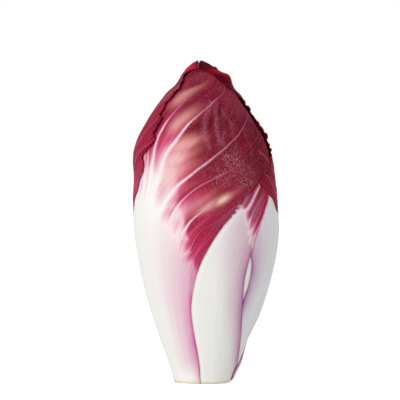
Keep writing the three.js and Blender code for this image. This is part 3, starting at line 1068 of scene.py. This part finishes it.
front_left = Leaf(
    "front_left_leaf",
    rib=[
        (0, -57), (60, -54), (80, -46), (94, -34), (101, -24), (107, -15), (112, -2), (116, 12), (120, 30),
        (124, 45), (130, 10),
    ],
    left=[
        (0, -103), (20, -98), (60, -97), (80, -112), (97, -112), (110, -95), (120, -72), (124, -56),
        (127, -44), (128.4, -32), (129.5, -16), (130, -4),
    ],
    right=[
        (0, -9), (8, -9.3), (14, -11.4), (21, -13.8), (28, -15.1), (33, -14.7), (40, -11.9), (46, -8.7),
        (51, -4.9), (55, -0.9), (60, 4.6), (64, 9.8), (68, 16), (70.5, 21), (72.5, 25.2), (74.5, 28.6),
        (76.5, 30.4), (78, 32.4), (80, 36.6), (82, 42), (86, 51.5), (89, 62), (92, 69.5), (96, 71), (100, 70),
        (104, 69.5), (109, 69.5), (114, 68), (118, 65), (121, 58), (123.3, 46.5), (125.4, 39.5),
        (127.5, 31.8), (129.3, 17.5), (130, 4),
    ],
    tip=130,
    seed=2,
    ragged=0.1,
    notches=[(1, 72.8, 1.5, 0.55), (1, 70.9, 0.9, 0.35), (1, 75.6, 0.5, 0.3)],
    lift=[(0, 0), (80, 0), (90, 0.1), (105, 0.3), (124, 0.4), (130, 0.2)],
    blush=(0, 1),
    blush_reach=[(0, 7), (28, 9), (42, 13), (52, 17), (66, 19), (80, 12)],
    veins=[
        [
            (-68, 0, 4), (-66, 50, 4), (-52, 80, 3), (-47.6, 90, 1.4), (-45.7, 94.3, 0.9),
            (-45.2, 98.5, 0.75), (-43.7, 102.8, 0.75), (-41.3, 106.4, 0.7), (-38.4, 109.4, 0.48),
            (-32.4, 113, 0.3), (-26.6, 116, 0.2), (-19.7, 119, 0.14), (-12.5, 121, 0.1), (-2.6, 122.9, 0.06),
            (12, 125, 0), (40, 130, 0),
        ],
        [
            (-57, 0, 6), (-54, 60, 6), (-46.5, 80, 4), (-37.7, 89.5, 1.7), (-33.7, 94.3, 1.3),
            (-29.5, 98, 1.1), (-24.4, 101, 1), (-18.2, 105.2, 0.78), (-11.8, 108.8, 0.56), (-3.8, 111.5, 0.4),
            (4.2, 113.9, 0.3), (12.1, 116, 0.29), (19.9, 118.2, 0.25), (29.3, 119.9, 0.16),
            (36.5, 121.1, 0.14), (44, 123.8, 0.1), (50, 126, 0), (60, 131, 0),
        ],
        [
            (-46, 0, 3), (-44, 50, 3), (-41.2, 70, 1.4), (-30.8, 78.1, 0.9), (-25.9, 81.1, 0.8),
            (-20.9, 83.5, 0.76), (-13.1, 86.5, 0.62), (-5.2, 89.5, 0.5), (2.6, 92.2, 0.5), (11.6, 95.5, 0.38),
            (20.5, 98.5, 0.3), (28.5, 101.3, 0.24), (35.4, 103.3, 0.22), (43, 105.8, 0.19),
            (51.7, 108.2, 0.16), (59.5, 110, 0.12), (70, 114, 0), (84, 122, 0), (92, 131, 0),
        ],
        [
            (-38, 0, 2), (-36, 50, 2), (-29, 68, 0.7), (-24.5, 72.8, 0.48), (-16.3, 78, 0.34),
            (-4, 82.9, 0.25), (8.8, 86.2, 0.22), (23.9, 89.8, 0.17), (34, 93, 0.1), (50, 98, 0), (75, 104, 0),
            (90, 110, 0), (110, 131, 0),
        ],
        [
            (-31, 0, 2), (-30, 45, 2), (-24, 58, 1), (-21, 61.6, 0.8), (-16.8, 64.8, 0.64), (-12.6, 68, 0.54),
            (-8.5, 70, 0.44), (-2.7, 72.4, 0.32), (3.9, 74.8, 0.25), (8.9, 76.8, 0.08), (14, 78.5, 0),
            (34, 84, 0), (58, 91, 0), (80, 98, 0), (105, 106, 0), (125, 131, 0),
        ],
        [
            (-24, 0, 2), (-23, 40, 1), (-21.3, 52, 0.36), (-13.3, 56.8, 0.22), (-9.7, 60.5, 0.17),
            (-3.1, 64.8, 0.12), (4, 67, 0.08), (20, 73, 0), (60, 86, 0), (100, 96, 0), (140, 131, 0),
        ],
        [
            (-18, 0, 1), (-17, 40, 0.6), (-13, 50, 0.3), (-9.9, 54, 0.22), (-3.4, 58.5, 0.17),
            (3.2, 62, 0.15), (7.9, 65.3, 0.13), (13.2, 69, 0.1), (20, 72, 0), (66, 84, 0), (110, 92, 0),
            (155, 131, 0),
        ],
    ],
    haze=(0.22, 20),
    redness=[
        (-115, 86, 100, 130), (-60, 88, 104, 126), (-50, 86, 106, 124), (-44, 84, 110, 125),
        (-38, 82, 113, 128), (-33, 80, 111, 128), (-28, 74, 108, 126), (-24, 68, 98, 124), (-20, 61, 84, 120),
        (-16, 56, 72, 112), (-14, 52.5, 63, 108), (-12, 49, 58, 106), (-9.5, 45.5, 54, 102),
        (-5, 42.5, 50, 100), (20, 36, 44, 94), (45, 36, 44, 84), (60, 36, 44, 82),
    ],
    patches=[
        (13.5, 77.2, 4.2, 1.5, 30, 0.75, 1), (2, 74.5, 7, 1.8, 30, 0.5, 0.5),
        (-15, 73.2, 9, 3, 42, 0.5, 0.14), (-6, 75.5, 9, 2.4, 34, 0.4, 0.26),
        (22, 79.5, 5, 1.6, 32, 0.3, 0.12), (28.2, 74.4, 1, 0.6, 0, 0.8, 0.95),
    ],
    bays=[
        (-0.26, 119.8, 0.26, 4.4, 0.24, 0.44), (0.6, 109.6, 0.32, 5, 0.42, 0.54),
        (1.23, 99.4, 0.22, 4.2, 0.55, 0.6), (1.32, 94.4, 0.26, 4.6, 0.62, 0.52),
        (1.4, 88.5, 0.42, 5.6, 0.45, 0.5), (2.4, 81, 0.4, 4, 0.2, 0.1),
    ],
    lobes=[
        (3.5, 68, 0.6, 6, 0.42), (2.7, 72, 0.5, 5, 0.3), (4.85, 59.5, 0.55, 4.8, 0.62),
        (5.65, 55.5, 0.55, 4.4, 0.66), (4.4, 60, 0.5, 7, 0.3),
    ],
    # Shining spots: blisters with painted glints and painted shade.
    blister_and_glint_spots=[
        (25, 92, 9, 0.9), (13, 87, 8, 0.8), (35, 86, 8, 0.9), (38, 80, 4, 0.8), (28, 76.5, 2.6, 0.7),
        (44, 86, 4, 0.6), (3, 107, 6, 0.3), (24, 104, 6, 0.45), (-8, 128, 8, 0.3),
    ],
    # Creases, each with a painted highlight on its ridge or a painted shade in its furrow.
    creases=[
        (0.34, 1.0, [(16.5, 100), (15.2, 107), (17.5, 112), (20, 117)]),
        (0.26, 0.7, [(35, 107.5), (30, 111), (25.6, 114), (22, 117)]),
        (0.34, 1.1, [(6, 98.5), (3, 104), (4.4, 110), (9, 114), (14, 117)]),
        (0.3, 0.5, [(20.5, 98.5), (18.8, 101), (22, 105)]),
        (0.16, 0.8, [(28, 96), (31, 100), (30, 104), (33, 108)]),
        (0.14, 0.8, [(44, 94), (47, 99), (45, 102), (47, 106)]),
        (-0.36, 0.6, [(18.5, 104), (20.5, 107), (22.5, 111.5), (25, 116)]),
        (-0.26, 0.8, [(11, 100), (10.5, 105), (12, 110)]), (-0.26, 0.8, [(-2, 100), (-3, 106), (-1, 111)]),
        (-0.24, 0.8, [(26, 101), (27.5, 106), (27, 110)]),
        (0.75, 0.36, [(56, 97), (63.2, 95), (69, 92.5), (74.7, 89)]),
    ],
)
finish_leaf(
    front_left,
    leaf_tissue("front left leaf tissue", feather=0.8, streak_width=0.26),
    "outer_leaf_front_left",
)

# ==================== the outer leaf at the back right ====================
# Its rib stands at the back right. The blade comes round the right side over two other leaves, ducks
# under the front leaf, and comes out again higher up as a sharply toothed edge. The edge is dark partly in
# its own red and partly with painted shade, and its bright red rim is partly a painted highlight.

back_right = Leaf(
    "back_right_leaf",
    rib=[(0, 140), (55, 140), (80, 146), (110, 160), (133.8, 170)],
    left=[
        (0, 60), (4, 60), (8, 67), (11, 73), (16, 77), (20, 81), (26, 88), (34, 93), (50, 97), (60, 95),
        (67, 89), (70.5, 83), (73.5, 76), (76, 71), (79, 62.7), (82, 56), (86, 49), (89, 52), (92, 63),
        (95, 77), (99, 83), (105, 84), (112, 83), (117, 77), (119, 68), (121, 58), (123, 46), (125, 37),
        (127, 28), (129, 14), (130.5, 5), (132, 8), (133.8, 12),
    ],
    right=[
        (0, 192), (15, 186), (55, 184), (75, 200), (92, 224), (104, 225), (116, 212), (126, 205), (131, 195),
        (133.8, 180),
    ],
    fan_left=[(0, 66), (40, 72), (75, 62), (100, 58), (120, 48), (133.8, 30)],
    tip=134.75,
    seed=3,
    ragged=0.4,
    fineness=0.6,
    notches=[
        (-1, 95, 1.0, 0.35), (-1, 97.5, 1.4, 0.45), (-1, 101, -1.2, 0.35), (-1, 103.5, 1.5, 0.45),
        (-1, 107, -1.1, 0.35), (-1, 109.5, 1.4, 0.5), (-1, 113.5, 1.2, 0.45), (-1, 116, -0.9, 0.4),
    ],
    left_lift=[
        (0, 0), (88, 0), (96, 1.0), (104, 1.3), (114, 1.1), (120, 1.0), (128, 0.6), (132, 0.5), (134, 0),
    ],
    left_lift_reach=1.9,
    left_lift_jag=0.5,
    bulges=[(84, 126.6, 5, 3, 2.1), (95, 119, 5, 3, 0.7), (88, 131.4, 1.6, 0.8, 0.7)],
    blush=(1, 1),
    blush_reach=[(0, 4), (60, 6), (HEAD_HEIGHT, 9)],
    redness=[
        (10, 60, 66, 92), (45, 60, 66, 90), (70, 60, 64, 90), (88, 56, 66, 100), (110, 68, 92, 124),
        (135, 88, 116, 134), (165, 90, 118, 134), (185, 72, 98, 130), (205, 60, 78, 120), (230, 56, 66, 115),
    ],
    # Bright red on the toothed shoulder: partly the leaf's own red, partly painted highlights.
    red_and_highlight_spots=[
        (86, 124.5, 4.4, 2.2, 75, 0.85), (84, 105, 11, 2.6, 90, 0.5), (60, 130, 6, 1.5, 0, 0.5),
        (79, 129, 3.6, 1.6, 50, 0.8), (92, 118, 3.4, 1.4, 80, 0.6),
    ],
    # Its left edge darkens high up, partly in its own dark red and partly with painted shade beside the front
    # leaf.
    dark_edge_and_shade=(1, 0),
    dark_edge_and_shade_reach=[(0, 2), (100, 2), (112, 5), (118, 11), (124, 16), (HEAD_HEIGHT, 16)],
    red_and_highlight_rim=(0.9, 0.4),
    red_and_highlight_rim_reaches=(90, 119),
    # A crease with a painted highlight along its ridge.
    creases=[(0.7, 0.36, [(73, 91), (79, 87), (84, 83), (87, 80)])],
)
finish_leaf(back_right, leaf_tissue("back right leaf tissue", line=(184, 72, 132)), "outer_leaf_back_right")

# ==================== the outer leaf at the front right ====================
# A broad white rib up the front of the head. Only the foot of its blade shows, with one wide vein and
# red fingers between the finer ones, before the front leaf covers it.

front_right = Leaf(
    "front_right_leaf",
    rib=[(0, 14), (34, 9), (55, 12.4), (70, 29), (77.5, 41), (83, 50), (100, 66), (132, 70)],
    left=[(0, -32), (20, -29), (50, -28), (75, -30), (97, -29), (112, -20), (124, -5), (130, -10), (132, -5)],
    right=[
        (0, 63), (6, 62), (10, 59), (15, 53.8), (20, 48.7), (25, 44), (30, 40.5), (35, 38), (40, 36.1),
        (45, 35.4), (50, 36.5), (55, 38.7), (60, 41.4), (66, 46), (72, 52.6), (76, 58), (80, 63), (85, 70),
        (95, 84), (105, 90), (115, 92), (124, 100), (130, 110), (132, 100),
    ],
    tip=132,
    seed=4,
    ragged=0.1,
    bulges=[(14, 28, 7, 34, 0.5)],
    blush=(0, 1),
    blush_reach=[(0, 4), (12, 4), (30, 6.5), (45, 8), (56, 12), (66, 14), (80, 12)],
    veins=[
        [
            (2, 0, 3), (0, 30, 3), (6, 60, 2), (17, 72, 0.4), (26, 78, 0.2), (40, 84, 0), (80, 110, 0),
            (84, 133, 0),
        ],
        [
            (14, 0, 8), (10, 30, 8), (12.4, 55, 5), (24.9, 66, 2.6), (30.8, 71.5, 1.6), (35.9, 73.9, 1.15),
            (41.2, 77.5, 0.8), (46.5, 81.1, 0.6), (49.8, 82.9, 0.4), (60, 90, 0), (100, 110, 0),
            (110, 133, 0),
        ],
        [
            (24, 0, 3), (20, 30, 3), (25, 56, 2), (33, 65, 0.6), (39, 71, 0.24), (46, 76, 0.14),
            (56, 82, 0.06), (70, 90, 0), (115, 110, 0), (125, 133, 0),
        ],
        [
            (33, 0, 3), (28, 30, 3), (32.1, 58, 1.1), (40.9, 66.7, 0.36), (47.7, 72.1, 0.24),
            (53.4, 76.3, 0.17), (57.4, 78.7, 0.12), (75, 90, 0), (125, 110, 0), (135, 133, 0),
        ],
        [
            (42, 0, 2), (32, 35, 2), (36, 58, 0.7), (42.5, 64, 0.28), (48, 69, 0.17), (53.9, 74, 0.12),
            (60, 78.5, 0.1), (80, 90, 0), (135, 110, 0), (150, 133, 0),
        ],
    ],
    redness=[
        (-32, 78, 92, 125), (10, 78, 92, 110), (25, 76, 88, 100), (29, 73, 83, 97), (32, 64, 79, 94),
        (34, 59, 76, 92), (37, 56, 73, 90), (41, 53, 72, 89), (44, 51, 72, 88), (47, 49, 71, 87),
        (60, 54, 72, 87), (90, 66, 78, 100),
    ],
    # Bright red along its right rim: partly its own red, partly a painted highlight.
    red_and_highlight_rim=(0, 0.6),
    red_and_highlight_rim_reaches=(60, 84),
    red_and_highlight_spots=[(38.4, 56, 5.5, 1, 76, 0.26)],
    # Painted grey-blue shade on the foot of the blade.
    painted_blue_shades=[
        (31.5, 77, 3.4, 1.4, 50, 0.75), (44, 80, 4, 0.8, 50, 0.3), (47, 75, 6, 1.4, 58, 0.22),
        (42, 72, 5, 1.6, 60, 0.24),
    ],
)
finish_leaf(
    front_right,
    leaf_tissue(
        "front right leaf tissue",
        feather=1.0,
        streak_width=0.3,
        line=(172, 98, 158),
        blush=(210, 162, 188),
        white=(243, 243, 240),
        cream=(238, 240, 232),
    ),
    "outer_leaf_front_right",
)

# ==================== the outer leaf at the right ====================
# The white leaf at the right side, mostly under the two leaves beside it.

right_leaf = Leaf(
    "right_leaf",
    rib=[(0, 72), (55, 72), (80, 76), (110, 90), (133.4, 96)],
    left=[
        (0, 10), (15, 28), (25, 34.8), (31, 38.5), (36, 39.7), (41, 41.3), (46, 41.8), (50, 41.1), (54, 39.2),
        (60, 36), (70, 30), (80, 20), (97, 12), (110, 16), (122, 20), (130, 5), (133.4, 10),
    ],
    right=[
        (0, 122), (20, 115), (55, 115), (75, 128), (97, 153), (108, 155), (120, 160), (130, 170),
        (133.4, 150),
    ],
    tip=134.6,
    seed=5,
    ragged=0.12,
    fineness=0.8,
    bulges=[(74, 36, 7, 26, 0.35)],
    blush=(1, 0.7),
    blush_reach=[(0, 2), (30, 3), (45, 6), (60, 8)],
    redness=[
        (10, 60, 70, 110), (40, 68, 78, 110), (60, 74, 94, 120), (80, 80, 102, 124), (110, 70, 94, 124),
        (155, 58, 74, 115),
    ],
)
finish_leaf(
    right_leaf,
    leaf_tissue(
        "right leaf tissue",
        line=(168, 104, 160),
        blush=(212, 176, 202),
        white=(240, 239, 241),
        cream=(232, 233, 237),
    ),
    "outer_leaf_right",
)

# ==================== the inner leaves ====================
# Fourteen more leaves follow at the golden angle. Each springs from the stem core a little higher up,
# and is shorter, narrower and thinner than the one outside it. Their tips roll round the apex.

GOLDEN_ANGLE = 137.5
FIRST_AZIMUTH = 72
INNER_LEAVES = 14
INNER_TIP = 134.8
INNER_FINENESS = 1.2
CLASP = 58  # how far round the core a leaf's foot reaches, in degrees either side of its rib
CLASP_HEIGHT = 13
RIB_TWIST = 20
LEAST_BASE = 1.1  # the thinnest foot that a leaf may spring from the core with
LOWEST_START = 9
START_STEP = 0.5
WIDEST_ROLL = 150
INNER_REDNESS = ((-80, 62), (-40, 74), (0, 92), (20, 94), (55, 76), (100, 62))  # (degrees from rib, begins)

inner_tissue = leaf_tissue("inner leaf tissue", line=(196, 96, 130), blush=(226, 178, 200), lining=0.5)
for order in range(INNER_LEAVES):
    age = order / (INNER_LEAVES - 1)
    azimuth = (FIRST_AZIMUTH + GOLDEN_ANGLE * (order + 1)) % 360
    waist, wide = 46 - 4 * age, 76 - 10 * age
    shoulder, tip = 106 - 14 * age, INNER_TIP - 22 * age**1.7
    heights = np.array([0, 6, 14, 30, 48, 62, 78, 92, 100, *np.linspace(104, tip, 10)])
    heights = heights[heights <= tip]
    widths = waist + (CLASP - waist) * np.exp(-heights / CLASP_HEIGHT)
    widths += (wide - waist) * ease(52 - 10 * age, 96 - 8 * age, heights)
    past = np.clip((heights - shoulder) / (tip - shoulder), 0, 1)
    rolled = np.minimum(1, head_radius(heights) / head_radius(shoulder))
    widths = np.minimum(WIDEST_ROLL, widths * np.sqrt(1 - (0.985 * past) ** 2) / rolled)
    ribs = azimuth + RIB_TWIST * ease(55, HEAD_HEIGHT, heights)
    rib, left, right = (np.stack([heights, turns], 1) for turns in (ribs, ribs - widths, ribs + widths))
    leaf = Leaf(
        f"bud_leaf_{order + 1:02d}",
        rib=rib,
        left=left,
        right=right,
        tip=tip,
        vigour=0.8 - 0.45 * age,
        seed=10 + order,
        ragged=0.15,
        redness=[(azimuth + at, begins - 3, begins + 16, begins + 50) for at, begins in INNER_REDNESS],
        fineness=INNER_FINENESS,
    )
    foot_turns = azimuth + np.linspace(-CLASP, CLASP, 40)
    leaf.start = LOWEST_START
    while leaf.start < CORE_HEIGHT:
        outer = read_field(taken, foot_turns, np.full(40, leaf.start)).max()
        if depth_limit(leaf.start) - outer > LEAST_BASE:
            break
        leaf.start += START_STEP
    finish_leaf(leaf, inner_tissue, f"inner_leaf_{order + 1:02d}")

# ==================== the stem core ====================
# The short stem that all the leaves grow on, cut off flat with them. The cut dries a little: it sinks
# in, yellows, and browns towards its rim, and the ends of its strings show as small dots.

CORE_SIDES = 160
CORE_FILLS_UP_TO = 4
CORE_IS_PLAIN_FROM = 15
CUT_SINKS = 0.45
CUT_WAVES = 0.12
LEAST_SINK = 0.05

core_heights = np.concatenate([np.linspace(0, 8, 24), np.linspace(9, CORE_HEIGHT - 0.6, 40)])
core_turns = np.arange(CORE_SIDES) * 360 / CORE_SIDES
core_turn, core_height = np.meshgrid(core_turns, core_heights)
inner_faces = read_field(draped(taken), core_turn.ravel(), core_height.ravel()).reshape(core_turn.shape)
filled = head_radius(core_height) - inner_faces
plain = core_radius(core_height)
fill = 1 - ease(CORE_FILLS_UP_TO, CORE_IS_PLAIN_FROM, core_height)
around = plain + (np.maximum(plain, filled) - plain) * fill
rings = []
for share in np.linspace(0.04, 0.985, 26):
    sunk = CUT_SINKS * (1 - share**3) + CUT_WAVES * np.sin(core_turns / 57.3 * 3 + 6 * share)
    rings.append(np.stack([core_turns, around[0] * share, np.maximum(LEAST_SINK, sunk)], 1))
for turns, radii, heights in zip(core_turn, around, core_height):
    rings.append(np.stack([turns, radii, heights], 1))
rings = np.array(rings)
angle = np.radians(rings[..., 0])
points = np.stack([rings[..., 1] * np.sin(angle), -rings[..., 1] * np.cos(angle), rings[..., 2]], -1)
vertices = [*(points.reshape(-1, 3) * MM).tolist(), (0, 0, CUT_SINKS * MM), (0, 0, CORE_HEIGHT * MM)]
last_ring = (len(rings) - 1) * CORE_SIDES
cut_middle, core_top = last_ring + CORE_SIDES, last_ring + CORE_SIDES + 1
faces = []
for ring in range(0, last_ring, CORE_SIDES):
    for side in range(CORE_SIDES):
        after = (side + 1) % CORE_SIDES
        faces.append((ring + side, ring + after, ring + CORE_SIDES + after, ring + CORE_SIDES + side))
for side in range(CORE_SIDES):
    after = (side + 1) % CORE_SIDES
    faces.append((after, side, cut_middle))
    faces.append((last_ring + side, last_ring + after, core_top))
core_mesh = bpy.data.meshes.new("cut_stem")
core_mesh.from_pydata(vertices, [], faces)
core_mesh.shade_smooth()

stem, tree = new_material("cut stem tissue")
position = node(tree, "ShaderNodeTexCoord").outputs["Object"]
mottle = noise(position, 700, 4)
across, along, _ = parts_of(position)
level = node(tree, "ShaderNodeCombineXYZ", {0: across, 1: along}).outputs[0]
out = node(tree, "ShaderNodeVectorMath", {0: level}, operation="LENGTH").outputs["Value"]
browned = plus(out, times(mottle, 0.002))
strings = {"Vector": level, "Scale": 640}
strings = node(tree, "ShaderNodeTexVoronoi", strings, voronoi_dimensions="2D").outputs["Distance"]
ringed = times(remapped(out, 0.0035, 0.005), remapped(out, 0.0085, 0.0095, 1, 0))
flesh = coated(
    paint(238, 230, 206),
    (remapped(mottle, 0.35, 0.65), paint(222, 204, 166)),
    (remapped(browned, 0.004, 0.0095, 0, 0.42), paint(184, 144, 100)),
    (times(remapped(strings, 0.12, 0.24, 0.55, 0), ringed), paint(138, 96, 58)),
)
bump = node(tree, "ShaderNodeBump", {"Height": mottle, "Strength": 0.5, "Distance": 0.2 * MM})
surface = {"Base Color": flesh, "Normal": bump.outputs[0], "IOR": 1.25}
surface["Roughness"] = remapped(mottle, 0.3, 0.7, 0.5, 0.7)
feed(tree.nodes["Principled BSDF"], surface)
core_mesh.materials.append(stem)
core = in_scene("cut_stem", core_mesh)
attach(core, "root")
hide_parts("stem_core")

# ==================== the table, the light and the camera ====================
# A plain white table under a plain white room, lit softly from the upper left. The camera stands far
# off with a long lens, a little above the middle of the head.

WHITE = (1, 1, 1, 1)
TABLE_SIDE = 4
TABLE_GLOW = 0.55
ROOM_LEVEL = 0.66
LAMP_PLACE = Vector((-0.65, -0.95, 0.35))
LAMP_SIZE = 0.5
LAMP_POWER = 5.0
CAMERA_DISTANCE = 1.5
CAMERA_RISE = np.radians(1.5)
SENSOR = 36
SEEN_SHARE = 1.2478  # how much the camera takes in, as a share of the head's height
AIM_SHARE = 0.5677  # how far up the head it looks
AIM_ASIDE = -2.1 * MM


def seen_directly(tree):
    """1 for the rays that show the surroundings, 0 for those that carry light to the object."""
    rays = node(tree, "ShaderNodeLightPath").outputs
    mirrored = maths("MAXIMUM", rays["Is Glossy Ray"], rays["Is Transmission Ray"])
    return maths("MAXIMUM", rays["Is Camera Ray"], mirrored)


floor_mesh = bpy.data.meshes.new("table")
corners = [(x * TABLE_SIDE, y * TABLE_SIDE, 0) for x, y in ((-1, -1), (1, -1), (1, 1), (-1, 1))]
floor_mesh.from_pydata(corners, [], [(0, 1, 2, 3)])
floor = in_scene("table", floor_mesh)
floor.location.z = cad_low.z - 0.02 * MM

table, tree = new_material("table white")
tree.nodes.clear()
grain = node(tree, "ShaderNodeTexNoise", {"Scale": 3, "Detail": 2}).outputs[0]
pale = mixed(grain, paint(246, 246, 246), paint(250, 250, 250))
matt = node(tree, "ShaderNodeBsdfDiffuse", {"Color": pale})
glow = node(tree, "ShaderNodeEmission", {"Color": WHITE, "Strength": TABLE_GLOW})
none = node(tree, "ShaderNodeEmission", {"Strength": 0})
light = node(tree, "ShaderNodeMixShader", {0: seen_directly(tree), 1: none.outputs[0], 2: glow.outputs[0]})
both = node(tree, "ShaderNodeAddShader", {0: matt.outputs[0], 1: light.outputs[0]})
node(tree, "ShaderNodeOutputMaterial", {"Surface": both.outputs[0]})
floor_mesh.materials.append(table)

world = bpy.data.worlds.new("room")
bpy.context.scene.world = world
world.use_nodes = True
tree = world.node_tree
tree.nodes.clear()
room = node(tree, "ShaderNodeBackground", {"Color": WHITE, "Strength": ROOM_LEVEL})
backdrop = node(tree, "ShaderNodeBackground", {"Color": WHITE, "Strength": 1})
around = {0: seen_directly(tree), 1: room.outputs[0], 2: backdrop.outputs[0]}
around = node(tree, "ShaderNodeMixShader", around)
node(tree, "ShaderNodeOutputWorld", {"Surface": around.outputs[0]})

window = bpy.data.lights.new("window", "AREA")
window.size = LAMP_SIZE
window.energy = LAMP_POWER
holder = in_scene("window", window)
holder.location = LAMP_PLACE
middle = Vector((0, 0, (cad_low.z + cad_high.z) / 2))
holder.rotation_euler = (middle - LAMP_PLACE).to_track_quat("-Z", "Y").to_euler()

tall = cad_high.z - cad_low.z
aim = Vector((AIM_ASIDE, 0, cad_low.z + AIM_SHARE * tall))
lens = bpy.data.cameras.new("camera")
lens.sensor_width = SENSOR
lens.lens = SENSOR * CAMERA_DISTANCE / (SEEN_SHARE * tall)
camera = in_scene("camera", lens)
camera.location = aim + Vector((0, -np.cos(CAMERA_RISE), np.sin(CAMERA_RISE))) * CAMERA_DISTANCE
camera.rotation_euler = (aim - camera.location).to_track_quat("-Z", "Y").to_euler()
bpy.context.scene.camera = camera
bpy.context.scene.view_settings.view_transform = "Standard"
